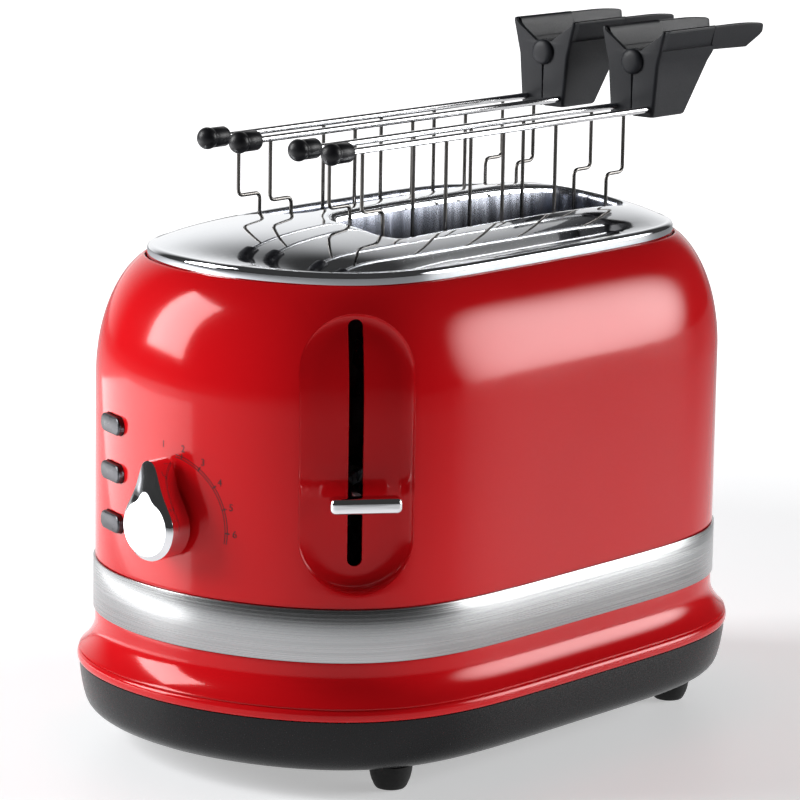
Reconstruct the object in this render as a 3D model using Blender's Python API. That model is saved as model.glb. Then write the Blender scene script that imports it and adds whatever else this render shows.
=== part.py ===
# Two-slot toaster: painted shell on a flared skirt, steel band, domed bright top plate,
# side controls, and a pair of lift-out sandwich cages that stand on the bread lifters.
# Frame: slots run along X, controls at -X, lever on the -X/-Y corner, +Z up, floor at 0.
import bpy
import bmesh
import math
import numpy as np

# Plan of the shell, a closed bow with rounded corners
wall_half_length = 0.1449
wall_half_width = 0.0917
end_power = 4.7
side_power = 1.83
plan_stations = 48
sheet = 0.0015
clearance = 0.0003
overrun = 0.006

# Heights of the shell
shoulder_z = 0.1527
shoulder_rise = 0.0531
shoulder_reach = 0.0302
shoulder_steps = 6
lip_inset = 0.0185
lip_round = 0.0009
seat_wall_inset = 0.0202
seat_z = 0.1978
seat_depth = 0.0052
shell_seam_z = 0.0664

# Steel band let into the wall
band_low_z = 0.0559
band_high_z = 0.0772
band_thickness = 0.0010
band_proud = 0.0008
band_bevel = 0.0002

# Skirt below the band
skirt_foot_z = 0.0335
flare_top_z = 0.0512
flare_low_z = 0.0390
flare_reach = 0.0065
flare_power = 2.1
flare_steps = 4
bead_height = 0.0046
bead_root = 0.0062
bead_reach = 0.0073
bead_groove = 0.0007
skirt_wall = 0.0022

# Base pan
pan_top_z = 0.0332
pan_bottom_z = 0.0102
pan_reach = 0.0064
pan_tuck = 0.0110
pan_wall = 0.0024
spigot_rise = 0.0045
spigot_wall = 0.0016
post_radius = 0.0040
post_rise = 0.0060

# Feet
foot_x = 0.0932
foot_y = 0.0687
foot_top_radius = 0.0088
foot_tip_radius = 0.0054
foot_tip_round = 0.0014

# Bright top plate
rim_inset = 0.0206
rim_foot_z = 0.1981
rim_side_z = 0.2046
rim_round = 0.0022
crown_z = 0.2211
plate_sheet = 0.0010
slot_pitch = 0.0487
slot_half_width = 0.0175
slot_front_x = -0.0660
slot_back_x = 0.0910
slot_corner = 0.0085
slot_lip = 0.0036
collar_foot_z = 0.1900

# Lever recess on the corner
recess_angle = math.radians(-130)
recess_spot_angle = math.radians(-133.3)
recess_low_z = 0.0833
recess_high_z = 0.1925
recess_half_width = 0.0224
recess_floor_half_width = 0.0160
recess_depth = 0.0065
recess_arc_steps = 6
lever_slot_width = 0.0060
lever_slot_low_z = 0.0932
lever_slot_high_z = 0.1903

# Lever, carriage and lifters
lever_z = 0.1210
bar_width = 0.0282
bar_depth = 0.0085
bar_height = 0.0064
bar_round = 0.0022
bar_stand = 0.0040
bar_shift = 0.0015
socket_depth = 0.0045
arm_thickness = 0.0026
arm_height = 0.0050
arm_inner_reach = 0.0250
arm_root_y = -0.0380
carriage_sheet = 0.0016
carriage_gap = 0.0045
carriage_half_width = 0.0420
carriage_low_z = 0.0680
carriage_high_z = 0.0960
upright_width = 0.0090
bush_radius = 0.0046
bush_over = 0.0030
rod_radius = 0.0020
rod_y = 0.0300
rod_stand = 0.0095
rod_over = 0.0015
rod_boss_radius = 0.0042
rod_boss_rise = 0.0050
lifter_top_z = 0.0800
lifter_depth = 0.0085
lifter_sheet = 0.0012
lifter_tail = 0.0015
lifter_down = 0.0050
lifter_up = 0.0660
tab_width = 0.0210
tab_length = 0.0060
tab_sheet = 0.0010
tab_count = 5
tab_margin = 0.0130

# Return spring
spring_radius = 0.0032
spring_wire_radius = 0.0004
spring_curls = 11
spring_curl_points = 8
spring_x = -0.0880
spring_y = 0.0140

# Toasting chamber
chamber_front_x = -0.0720
chamber_back_x = 0.0970
chamber_sheet = 0.0010
chamber_low_z = 0.0290
chamber_high_z = 0.1960
leg_width = 0.0045
shield_y = 0.0500
shield_flange = 0.0110
guide_slot_width = 0.0046
guide_slot_margin = 0.0020
top_flange_reach = 0.0200
top_flange_half_width = 0.0360
card_y = 0.0465
card_sheet = 0.0010
card_low_z = 0.0620
card_high_z = 0.1850
ribbon_rows = 8
ribbon_height = 0.0016
ribbon_sheet = 0.0004
ribbon_side_margin = 0.0070
ribbon_edge_margin = 0.0080
guard_offset = 0.0162
guard_bar = 0.0015
guard_uprights = 7
guard_low_z = 0.0660
guard_high_z = 0.1870

# Crumb tray
tray_half_width = 0.0450
tray_inner_x = -0.0640
tray_height = 0.0060
tray_front_height = 0.0104
tray_front_reach = 0.0150
tray_sheet = 0.0010
tray_pull_inset = -0.0045
tray_pull_half_width = 0.0140
tray_pull_height = 0.0020
tray_pull_reach = 0.0026

# Latch magnet on the base
magnet_x = -0.0890
magnet_foot_radius = 0.0110
magnet_foot_height = 0.0020
magnet_core_radius = 0.0035
winding_radius = 0.0085
winding_high_z = 0.0540
winding_round = 0.0012
armature_half_width = 0.0200
armature_reach = 0.0190

# Control board and its parts
board_x = -0.1255
board_sheet = 0.0016
board_half_width = 0.0210
board_high_z = 0.1190
board_post_y = 0.0140
relay_size = (0.0120, 0.0150, 0.0150)
relay_spot = (0.0080, 0.0420)
chip_size = (0.0030, 0.0100, 0.0160)
chip_spot = (-0.0090, 0.0500)
terminal_size = (0.0090, 0.0240, 0.0080)
terminal_spot = (0.0000, 0.0850)

# Push buttons, their switches and board
button_angle = math.radians(158)
button_zs = (0.1380, 0.1185, 0.0980)
button_width = 0.0180
button_height = 0.0080
button_corner = 0.0034
button_proud = 0.0022
button_round = 0.0008
button_stop = 0.0010
button_stop_front = 0.0029
button_stop_back = 0.0044
button_stem = 0.0036
button_stem_back = 0.0090
button_travel = 0.0020
switch_size = 0.0060
switch_depth = 0.0032
button_board_width = 0.0170
button_board_high_z = 0.1480

# Browning dial
dial_y = 0.0040
dial_z = 0.1048
dial_radius = 0.0134
dial_tip_radius = 0.0040
dial_tip_reach = 0.0229
dial_stand = 0.0025
dial_depth = 0.0100
dial_face_rise = 0.0020
dial_face_inset = 0.0018
dial_bore_depth = 0.0075
shaft_radius = 0.0030
shaft_hole_margin = 0.0012
shaft_margin = 0.0006
potentiometer_radius = 0.0082
potentiometer_depth = 0.0080

# Cable bush in the far wall of the base, with no cable
bush_x = -0.0450
bush_z = 0.0225
bush_bore = 0.0034
bush_neck = 0.0056
bush_flange = 0.0070
bush_face_y = 0.0988
bush_flange_depth = 0.0040

# Screws under the base
screw_head_radius = 0.0032
screw_shank_radius = 0.0015
screw_head_height = 0.0016
screw_over = 0.0012

# Sandwich cages
cage_half_gap = 0.0086
rail_z = 0.2502
rail_radius = 0.0014
rail_front_x = -0.0800
wire_radius = 0.0008
cross_wire_radius = 0.0007
cage_foot_z = 0.0811
cage_cross_zs = (0.0860, 0.1500)
cage_wire_xs = (-0.0215, 0.0156, 0.0507)
cage_hook_xs = (-0.0740, 0.0977)
cage_side_xs = (-0.0610, 0.0865)
cage_hook_z = 0.2250
cage_hook_round = 0.0028
cage_ledge = 0.0050
cap_radius = 0.0041
cap_length = 0.0205
cap_round = 0.0018
cap_socket = 0.0120

# Cage grips, two mirrored halves round a pin
grip_front_x = 0.1145
grip_wall = 0.0020
grip_foot_z = 0.2470
grip_waist_z = 0.2690
grip_notch_z = 0.2780
grip_top_z = 0.2868
grip_foot_half = 0.0115
grip_waist_half = 0.0128
grip_top_half = 0.0162
grip_foot_length = 0.0230
grip_back_length = 0.0400
grip_tab_length = 0.0745
grip_tab_low_z = 0.2750
grip_tab_rake = 0.0080
grip_tab_droop = 0.0090
grip_tab_step = 0.0002
grip_wing = 0.0060
grip_split = 0.0004
pivot_z = 0.2710
pivot_radius = 0.0020
pivot_head_radius = 0.0056
pivot_head_height = 0.0018
pivot_length = 0.0200
knuckle_radius = 0.0048
knuckle_length = 0.0060
knuckle_web_half = 0.0022
rail_socket_length = 0.0160
rail_socket_half = 0.0032

# Outline shares of the formed pieces
foot_shares = ((1.0, 1.0), (0.97, 0.72), (0.86, 0.34), (0.74, 0.11))
pan_shares = ((1.0, 1.0), (0.93, 0.77), (0.73, 0.47), (0.47, 0.27), (0.07, 0.145), (-0.60, 0.045))
dome_shares = (0.91, 0.76, 0.54, 0.28)
recess_shares = ((0.0, 0.0), (0.3, 0.05), (0.6, 0.2), (0.82, 0.5), (1.15, 1.5))
recess_lean_share = 0.75
bar_edge_shares = ((0.80, 0.0), (0.28, 0.35), (0.0, 1.0))
cap_edge_shares = ((0.45, 0.0), (0.80, 0.25), (0.96, 0.65), (1.0, 1.0))
pin_head_shares = ((0.62, 1.0), (0.88, 0.78), (1.0, 0.40), (1.0, 0.0))
tab_droop_shares = (0, 0, 0.12, 0.36, 0.70)
tab_rake_share = 0.15

body_x = (wall_half_length + dial_stand + dial_depth + dial_face_rise - grip_front_x - grip_tab_length) / 2
inner_floor_z = pan_bottom_z + pan_wall
rod_x = chamber_front_x - chamber_sheet - rod_stand
carriage_x = chamber_front_x - chamber_sheet - carriage_gap
dial_wall_x = -wall_half_length * (1 - (dial_y / wall_half_width) ** side_power) ** (1 / end_power)
box_faces = [(0, 1, 3, 2), (4, 6, 7, 5), (0, 4, 5, 1), (2, 3, 7, 6), (0, 2, 6, 4), (1, 5, 7, 3)]


def clear_scene():
    for item in list(bpy.data.objects):
        bpy.data.objects.remove(item, do_unlink=True)


def finish(name, colour, roughness, metallic):
    made = bpy.data.materials.new(name)
    made.use_nodes = True
    shader = made.node_tree.nodes["Principled BSDF"]
    shader.inputs["Base Color"].default_value = (*colour, 1)
    shader.inputs["Roughness"].default_value = roughness
    shader.inputs["Metallic"].default_value = metallic
    made.diffuse_color = (*colour, 1)
    return made


def empty(name, parent=None, place=(0, 0, 0)):
    made = bpy.data.objects.new(name, None)
    bpy.context.scene.collection.objects.link(made)
    made.location = place
    made.parent = parent
    return made


def solid(name, points, faces, material=None, parent=None, place=(0, 0, 0), turn=0.0):
    """One mesh object with its faces turned outwards; without a material it is a hidden cutter."""
    mesh = bpy.data.meshes.new(name)
    mesh.from_pydata([tuple(map(float, point)) for point in points], [], faces)
    work = bmesh.new()
    work.from_mesh(mesh)
    bmesh.ops.recalc_face_normals(work, faces=work.faces)
    work.to_mesh(mesh)
    work.free()
    mesh.shade_smooth()
    mesh.set_sharp_from_angle(angle=math.radians(34))
    made = bpy.data.objects.new(name, mesh)
    bpy.context.scene.collection.objects.link(made)
    made.location = place
    made.rotation_euler[2] = turn
    made.parent = parent
    if material:
        mesh.materials.append(material)
    else:
        made.hide_render = True
        made.display_type = "WIRE"
    return made


def joined(name, forms, **where):
    """Several separate closed forms in one object."""
    points, faces = [], []
    for form_points, form_faces in forms:
        start = len(points)
        points.extend(form_points)
        faces.extend(tuple(start + corner for corner in face) for face in form_faces)
    return solid(name, points, faces, **where)


def loft_form(rings, looped=False):
    """Quads between rings of equal length, capped at the ends unless the rings close on themselves."""
    count, rows = len(rings[0]), len(rings)
    faces = []
    for row in range(rows if looped else rows - 1):
        near, far = row * count, (row + 1) % rows * count
        for spot in range(count):
            ahead = (spot + 1) % count
            faces.append((near + spot, near + ahead, far + ahead, far + spot))
    if not looped:
        faces.append(tuple(range(count)))
        faces.append(tuple(range((rows - 1) * count, rows * count)))
    return np.vstack(rings), faces


def loft(name, rings, looped=False, **where):
    return solid(name, *loft_form(rings, looped), **where)


def box_form(low, high):
    return [(x, y, z) for x in (low[0], high[0]) for y in (low[1], high[1]) for z in (low[2], high[2])], box_faces


def box(name, low, high, **where):
    return solid(name, *box_form(low, high), **where)


def circle(radius, sides):
    turn = np.arange(sides) * math.tau / sides
    return radius * np.column_stack([np.cos(turn), np.sin(turn)])


def level(outline, height):
    return np.column_stack([outline, np.full(len(outline), height)])


def upright(outline, x):
    """Stands an (across, height) outline up at x."""
    return np.column_stack([np.full(len(outline), x), outline[:, 0], outline[:, 1]])


def lathe_form(profile, sides, axis="z", looped=False, place=(0, 0, 0)):
    """Turns (radius, height) pairs round an axis."""
    order = {"z": [0, 1, 2], "x": [2, 0, 1], "y": [1, 2, 0]}[axis]
    return loft_form([level(circle(radius, sides), height)[:, order] + place for radius, height in profile], looped)


def lathe(name, profile, sides=20, axis="z", looped=False, **where):
    return solid(name, *lathe_form(profile, sides, axis, looped), **where)


def prism(name, outline, low, high, **where):
    return loft(name, [level(outline, low), level(outline, high)], **where)


def cut(target, cutter, how="DIFFERENCE"):
    modifier = target.modifiers.new(cutter.name, "BOOLEAN")
    modifier.operation = how
    modifier.solver = "EXACT"
    modifier.object = cutter


def rounded_rectangle(half_x, half_y, corner, steps=4, along_x=1, along_y=1):
    """Points round a rectangle with round corners, with extra points along its straight sides."""
    quarter = np.linspace(0, math.pi / 2, steps + 1)
    bend = corner * np.column_stack([np.cos(quarter), np.sin(quarter)])
    arcs = []
    for order, (sign_x, sign_y) in enumerate(((1, 1), (-1, 1), (-1, -1), (1, -1))):
        arc = bend * (sign_x, sign_y) + (sign_x * (half_x - corner), sign_y * (half_y - corner))
        arcs.append(arc if order % 2 == 0 else arc[::-1])
    points = []
    for order, arc in enumerate(arcs):
        points.extend(arc)
        nearby = arcs[(order + 1) % 4][0]
        between = along_x if order % 2 == 0 else along_y
        for step in range(1, between):
            points.append(arc[-1] + (nearby - arc[-1]) * step / between)
    return np.array(points)


def strip_outline(path, width):
    """Outline of a flat strip that follows a bent path in plan."""
    path = np.asarray(path)
    along = np.diff(path, axis=0)
    along /= np.hypot(*along.T)[:, None]
    side = np.column_stack([-along[:, 1], along[:, 0]])
    sides = np.vstack([side[:1], (side[:-1] + side[1:]) / 2, side[-1:]])
    sides /= (sides ** 2).sum(axis=1)[:, None]
    return np.vstack([path + sides * width / 2, (path - sides * width / 2)[::-1]])


def sweep(name, path, radius, sides=6, **where):
    """A round tube along a path, its rings carried along without twist."""
    path = np.asarray(path)
    along = np.gradient(path, axis=0)
    along /= np.linalg.norm(along, axis=1)[:, None]
    side = np.cross(along[0], (1, 0, 0) if abs(along[0][2]) > abs(along[0][0]) else (0, 0, 1))
    outline = circle(radius, sides)
    rings = []
    for spot, direction in zip(path, along):
        side = side - direction * (side @ direction)
        side /= np.linalg.norm(side)
        other = np.cross(direction, side)
        rings.append(spot + outline[:, :1] * side + outline[:, 1:] * other)
    return loft(name, rings, **where)


def lattice(name, across, heights, keep, low, high, along_x=True, **where):
    """A flat grille made of the kept cells between two lists of coordinates, given a thickness."""
    columns, rows = len(across), len(heights)
    flat = [(spot, height) for height in heights for spot in across]
    points = [(spot, depth, height) if along_x else (depth, spot, height)
              for depth in (low, high) for spot, height in flat]
    behind = columns * rows
    faces = []
    for row in range(rows - 1):
        for column in range(columns - 1):
            if not keep(column, row):
                continue
            corner = row * columns + column
            ring = (corner, corner + 1, corner + columns + 1, corner + columns)
            faces.append(ring)
            faces.append(tuple(behind + spot for spot in reversed(ring)))
            beside = ((column, row - 1), (column + 1, row), (column, row + 1), (column - 1, row))
            for order, (next_column, next_row) in enumerate(beside):
                inside = 0 <= next_column < columns - 1 and 0 <= next_row < rows - 1
                if not inside or not keep(next_column, next_row):
                    first, second = ring[order], ring[(order + 1) % 4]
                    faces.append((first, second, behind + second, behind + first))
    used = sorted({spot for face in faces for spot in face})
    order = {spot: place for place, spot in enumerate(used)}
    return solid(name, [points[spot] for spot in used],
                 [tuple(order[spot] for spot in face) for face in faces], **where)


def plan(count):
    """Points and outward normals round the wall, spaced half by length and half by turning."""
    fine = 1440
    turn = np.arange(2 * fine) * math.pi / fine
    run, rise = np.cos(turn), np.sin(turn)
    curve = np.column_stack([wall_half_length * np.sign(run) * np.abs(run) ** (2 / end_power),
                             wall_half_width * np.sign(rise) * np.abs(rise) ** (2 / side_power)])
    closed = np.vstack([curve, curve[:1]])
    travel = np.concatenate([[0], np.cumsum(np.hypot(*np.diff(closed, axis=0).T))])
    even = np.arange(fine) / fine * travel[-1]
    spots = np.column_stack([np.interp(even, travel, closed[:, axis]) for axis in (0, 1)])
    ahead = np.roll(spots, -6, axis=0) - np.roll(spots, 6, axis=0)
    facing = np.unwrap(np.arctan2(ahead[:, 1], ahead[:, 0]))
    facing = np.concatenate([facing, [facing[0] + math.tau]])
    share = np.arange(fine + 1) / fine / 2 + (facing - facing[0]) / math.tau / 2
    looped = np.vstack([spots, spots[:1]])
    wanted = np.arange(count) / count
    points = np.column_stack([np.interp(wanted, share, looped[:, axis]) for axis in (0, 1)])
    faced = np.interp(wanted, share, facing)
    return points, np.column_stack([np.sin(faced), -np.cos(faced)])


wall_points, wall_normals = plan(plan_stations)
fine_points, fine_normals = plan(plan_stations * 12)


def ring(inset, height):
    """The wall's plan moved inwards by inset, at a height."""
    return level(wall_points - wall_normals * inset, height)


def rings(profile):
    return [ring(inset, height) for inset, height in profile]


def wall_spot(angle):
    """The point of the wall whose outward normal has this angle."""
    return fine_points[np.argmax(fine_normals @ (math.cos(angle), math.sin(angle)))]


def shoulder(thickness, last_inset, steps):
    """The elliptic shoulder, from the upright wall to the inset where it stops."""
    bend = np.linspace(0, math.acos(1 - last_inset / shoulder_reach), steps + 1)
    return [(shoulder_reach * (1 - math.cos(step)) + thickness * math.cos(step),
             shoulder_z + (shoulder_rise - thickness) * math.sin(step)) for step in bend]


def shoulder_inset(heights):
    rise = np.clip((heights - shoulder_z) / shoulder_rise, 0, 1)
    return shoulder_reach * (1 - np.sqrt(1 - rise ** 2))


def plate_height(x, y):
    """The dome of the top plate, highest on the centre line."""
    edge_x = wall_half_length - rim_inset - rim_round
    edge_y = wall_half_width - rim_inset - rim_round
    fall = (1 - np.abs(x / edge_x) ** 4) * (1 - (y / edge_y) ** 2)
    return rim_side_z + rim_round + (crown_z - rim_side_z - rim_round) * np.clip(fall, 0, 1)


clear_scene()
enamel = finish("red_enamel", (0.72, 0.012, 0.018), 0.12, 0.0)
steel = finish("brushed_steel", (0.62, 0.61, 0.60), 0.32, 1.0)
chrome = finish("polished_chrome", (0.86, 0.87, 0.88), 0.06, 1.0)
base_black = finish("satin_black", (0.018, 0.019, 0.021), 0.42, 0.0)
grip_black = finish("grip_black", (0.022, 0.023, 0.025), 0.48, 0.0)
foot_rubber = finish("foot_rubber", (0.012, 0.012, 0.012), 0.75, 0.0)
zinc = finish("zinc_sheet", (0.55, 0.56, 0.57), 0.38, 1.0)
mica = finish("mica_card", (0.62, 0.50, 0.36), 0.60, 0.0)
nichrome = finish("nichrome_ribbon", (0.32, 0.27, 0.24), 0.45, 1.0)
wire_steel = finish("wire_steel", (0.66, 0.66, 0.65), 0.22, 1.0)
board_green = finish("board_green", (0.02, 0.16, 0.07), 0.45, 0.0)
part_black = finish("part_black", (0.03, 0.03, 0.035), 0.40, 0.0)
copper = finish("winding_copper", (0.55, 0.22, 0.09), 0.35, 1.0)

stand = empty("stand", place=(body_x, 0, 0))
fixed = {"parent": stand}
recess_spot = wall_spot(recess_spot_angle)
recess_out = np.array([math.cos(recess_angle), math.sin(recess_angle)])
recess_frame = {"parent": stand, "place": (*recess_spot, 0), "turn": recess_angle}
button_spot = wall_spot(button_angle)
button_out = np.array([math.cos(button_angle), math.sin(button_angle)])
button_frame = {"parent": stand, "place": (*button_spot, 0), "turn": button_angle}


def track_outline(half_width, low_centre, high_centre, between):
    """Upright racetrack from its lowest point round by the right, with added straight-side heights."""
    bend = np.linspace(0, math.pi / 2, recess_arc_steps + 1)
    low_arc = np.column_stack([np.sin(bend), -np.cos(bend)]) * half_width + (0, low_centre)
    high_arc = np.column_stack([np.cos(bend), np.sin(bend)]) * half_width + (0, high_centre)
    side = np.column_stack([np.full(len(between), half_width), between])
    right = np.vstack([low_arc, side, high_arc])
    return np.vstack([right, right[-2:0:-1] * (-1, 1)])


def wall_depth(across, height):
    """How far the curved wall lies outside the recess's upright plane, at one spot."""
    shifted = fine_points - fine_normals * shoulder_inset(height) - recess_spot
    outward = shifted @ recess_out
    sideways = shifted @ (-recess_out[1], recess_out[0])
    facing = outward > -recess_spot @ recess_out / 2
    order = np.argsort(sideways[facing])
    return np.interp(across, sideways[facing][order], outward[facing][order])


def recess_form(name, grow, **where):
    """Racetrack pocket from its leaning floor, up soft sides, to beyond the curved wall."""
    low_centre, high_centre = recess_low_z + recess_half_width, recess_high_z - recess_half_width
    between = np.linspace(shoulder_z, high_centre, 4)[:-1]
    slope = recess_half_width - recess_floor_half_width
    rim = track_outline(recess_half_width, low_centre, high_centre, between)
    wall_x = np.array([wall_depth(across, height) for across, height in rim])
    stages = []
    for width_share, rise_share in recess_shares:
        outline = track_outline(recess_floor_half_width + slope * width_share + grow, low_centre, high_centre,
                                between)
        floor_x = -recess_depth - recess_lean_share * shoulder_inset(outline[:, 1])
        stages.append(np.column_stack([floor_x + (wall_x - floor_x) * rise_share - grow, outline]))
    stages.append(upright(outline, 2 * overrun))
    points, faces = loft_form(stages)
    count = len(outline)
    half = count // 2
    floor = [(0, 1, count - 1)]
    floor += [(spot, spot + 1, count - spot - 1, count - spot) for spot in range(1, half - 1)]
    floor.append((half - 1, half, half + 1))
    faces[-2:-1] = floor
    return solid(name, points, faces, **where)


def build_shell():
    groove = band_thickness - band_proud + clearance
    seam = shell_seam_z + clearance / 2
    outer = [(groove, seam), (groove, band_high_z + clearance), (0, band_high_z + clearance),
             *shoulder(0, lip_inset, shoulder_steps)]
    crest = outer[-1][1]
    lip = [(lip_inset + lip_round, crest + lip_round / 3), (seat_wall_inset - clearance, crest - lip_round),
           (seat_wall_inset, seat_z), (seat_wall_inset + seat_depth, seat_z),
           (seat_wall_inset + seat_depth, seat_z - sheet)]
    inner = [spot for spot in reversed(shoulder(sheet, seat_wall_inset, shoulder_steps))
             if spot[1] < seat_z - sheet - clearance]
    shell = loft("body_shell", rings([*outer, *lip, *inner, (groove + sheet, seam)]), looped=True,
                 material=enamel, **fixed)
    outside = loft("shell_outside", rings([(0, seam), *shoulder(0, lip_inset, shoulder_steps)]), **fixed)
    tub = recess_form("recess_tub", sheet, **recess_frame)
    cut(tub, outside, "INTERSECT")
    cut(shell, tub, "UNION")
    cut(shell, recess_form("recess_pocket", 0, **recess_frame))
    half_slot = lever_slot_width / 2
    slot = track_outline(half_slot, lever_slot_low_z + half_slot, lever_slot_high_z - half_slot, [])
    cut(shell, loft("lever_slot", [upright(slot, -recess_depth - 4 * overrun), upright(slot, overrun)],
                    **recess_frame))
    hole = rounded_rectangle(button_width / 2, button_height / 2, button_corner, 3)
    for number, height in enumerate(button_zs, 1):
        ends = [upright(hole + (0, height), x) for x in (-2 * overrun, overrun)]
        cut(shell, loft(f"button_hole_{number}", ends, **button_frame))
    radius = shaft_radius + shaft_hole_margin
    cut(shell, lathe("dial_hole", [(radius, -overrun), (radius, overrun)], 16, "x", parent=stand,
                     place=(dial_wall_x, dial_y, dial_z)))


def build_band():
    inner = band_thickness - band_proud
    eased = -band_proud + band_bevel
    profile = [(inner, band_low_z), (inner, band_high_z), (eased, band_high_z), (-band_proud, band_high_z - band_bevel),
               (-band_proud, band_low_z + band_bevel), (eased, band_low_z)]
    loft("trim_band", rings(profile), looped=True, material=steel, **fixed)


def build_skirt():
    """Concave flare, a fine groove, and a bead along the foot."""
    groove = band_thickness - band_proud + clearance
    seam = shell_seam_z - clearance / 2
    outer = [(groove, seam), (groove, band_low_z - clearance), (0, band_low_z - clearance)]
    flare = [(-flare_reach * step ** flare_power, flare_top_z + (flare_low_z - flare_top_z) * step)
             for step in np.linspace(0, 1, flare_steps + 1)]
    middle = skirt_foot_z + bead_height / 2
    bead = [(-flare_reach + bead_groove, flare_low_z - bead_groove / 2)]
    bead += [(-bead_root - (bead_reach - bead_root) * math.cos(bend), middle + bead_height / 2 * math.sin(bend))
             for bend in np.linspace(math.pi / 2, -math.pi / 2, 5)]
    inside = -bead_reach + skirt_wall
    inner = [(inside, skirt_foot_z), (inside, flare_low_z - skirt_wall / 2)]
    inner += [(inset + skirt_wall, height) for inset, height in reversed(flare)]
    inner.append((skirt_wall, seam))
    loft("skirt_ring", rings([*outer, *flare, *bead, *inner]), looped=True, material=enamel, **fixed)


def pan_outline():
    """Outside of the pan from its top edge down and under."""
    rise = pan_top_z - pan_bottom_z
    outline = [(-pan_reach * reach, pan_bottom_z + rise * height) for reach, height in pan_shares]
    return [*outline, (pan_tuck, pan_bottom_z)]


def thinned(profile, wall):
    """The same profile moved inwards through the wall."""
    profile = np.array(profile)
    along = np.gradient(profile, axis=0)
    along /= np.hypot(*along.T)[:, None]
    return [tuple(spot) for spot in profile + np.column_stack([-along[:, 1], along[:, 0]]) * wall]


def pan_solid(name, inset, **where):
    return loft(name, rings(thinned(pan_outline(), inset)), **where)


def screw_spots():
    """One screw through the foot flange of each side shield."""
    y = shield_y + chamber_sheet + shield_flange / 2
    return [((chamber_front_x + chamber_back_x) / 2, side * y) for side in (-1, 1)]


def build_pan():
    """Rounded pan with a spigot that locates the skirt, and posts that carry the works."""
    spigot = -bead_reach + skirt_wall + clearance
    ledge = [(spigot, pan_top_z), (spigot, pan_top_z + spigot_rise), (spigot + spigot_wall, pan_top_z + spigot_rise),
             (spigot + spigot_wall, pan_top_z - pan_wall)]
    inner = thinned(pan_outline(), pan_wall)[2:-1]
    profile = [*reversed(pan_outline()), *ledge, *inner, (pan_tuck, inner_floor_z)]
    pan = loft("base_tray", rings(profile), material=base_black, **fixed)
    root_z = inner_floor_z - pan_wall / 2
    post = [(post_radius, root_z), (post_radius, inner_floor_z + post_rise)]
    board_back = button_stem_back + button_travel + clearance + switch_depth + board_sheet / 2
    spots = [(board_x + board_sheet / 2, -board_post_y), (board_x + board_sheet / 2, board_post_y),
             tuple(button_spot - button_out * board_back)]
    boss_top = inner_floor_z + rod_boss_rise
    boss = [(rod_radius + clearance, root_z), (rod_boss_radius, root_z), (rod_boss_radius, boss_top),
            (rod_radius + clearance, boss_top)]
    posts = [lathe_form(post, 12, place=(*spot, 0)) for spot in spots]
    posts += [lathe_form(boss, 12, looped=True, place=(rod_x, y, 0)) for y in (-rod_y, rod_y)]
    cut(pan, joined("pan_posts", posts, **fixed), "UNION")
    edge = tray_half_width + clearance
    cut(pan, box("tray_opening", (wall_half_length / 2, -edge, inner_floor_z),
                 (wall_half_length + 4 * overrun, edge, inner_floor_z + tray_front_height + clearance), **fixed))
    hole = [(bush_neck + clearance, wall_half_width - 2 * overrun), (bush_neck + clearance, wall_half_width + 3 * overrun)]
    cut(pan, lathe("bush_hole", hole, 16, "y", parent=stand, place=(bush_x, 0, bush_z)))
    hole = [(screw_shank_radius + clearance, pan_bottom_z - overrun),
            (screw_shank_radius + clearance, inner_floor_z + overrun)]
    cut(pan, joined("pan_screw_holes", [lathe_form(hole, 8, place=(*spot, 0)) for spot in screw_spots()], **fixed))


def build_feet():
    height = pan_bottom_z - clearance
    profile = [(foot_top_radius * reach, height * rise) for reach, rise in foot_shares]
    profile += [(foot_tip_radius + foot_tip_round / 3, foot_tip_round / 3), (foot_tip_radius, 0)]
    for number, (x, y) in enumerate(((-1, -1), (1, -1), (-1, 1), (1, 1)), 1):
        lathe(f"foot_{number}", profile, 16, material=foot_rubber, parent=stand, place=(x * foot_x, y * foot_y, 0))


def slot_outline(grow, side):
    """A slot's rounded rectangle, grown outwards, with points along it for the dome."""
    half_x = (slot_back_x - slot_front_x) / 2 + grow
    outline = rounded_rectangle(half_x, slot_half_width + grow, slot_corner + grow, 3, 4, 2)
    return outline + ((slot_front_x + slot_back_x) / 2, side * slot_pitch / 2)


def on_dome(outline, drop):
    return np.column_stack([outline, plate_height(outline[:, 0], outline[:, 1]) - drop])


def domed_form(upper, lower):
    """A thin dome whose upper rings run in to a pole and whose lower rings run back out from one."""
    count = len(upper[0])
    points, faces = loft_form([*upper, *lower], looped=True)
    last_upper, first_lower = (len(upper) - 1) * count, len(upper) * count
    del faces[last_upper:first_lower]
    crown = len(points)
    points = np.vstack([points, (0, 0, crown_z), (0, 0, crown_z - plate_sheet)])
    for spot in range(count):
        ahead = (spot + 1) % count
        faces.append((last_upper + spot, last_upper + ahead, crown))
        faces.append((first_lower + ahead, first_lower + spot, crown + 1))
    return points, faces


def filled_dome_form(upper):
    """The plate's outside as a filled form."""
    count = len(upper[0])
    points, faces = loft_form(upper)
    last = (len(upper) - 1) * count
    faces.pop()
    faces += [(last + spot, last + (spot + 1) % count, len(points)) for spot in range(count)]
    return np.vstack([points, (0, 0, crown_z)]), faces


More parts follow.
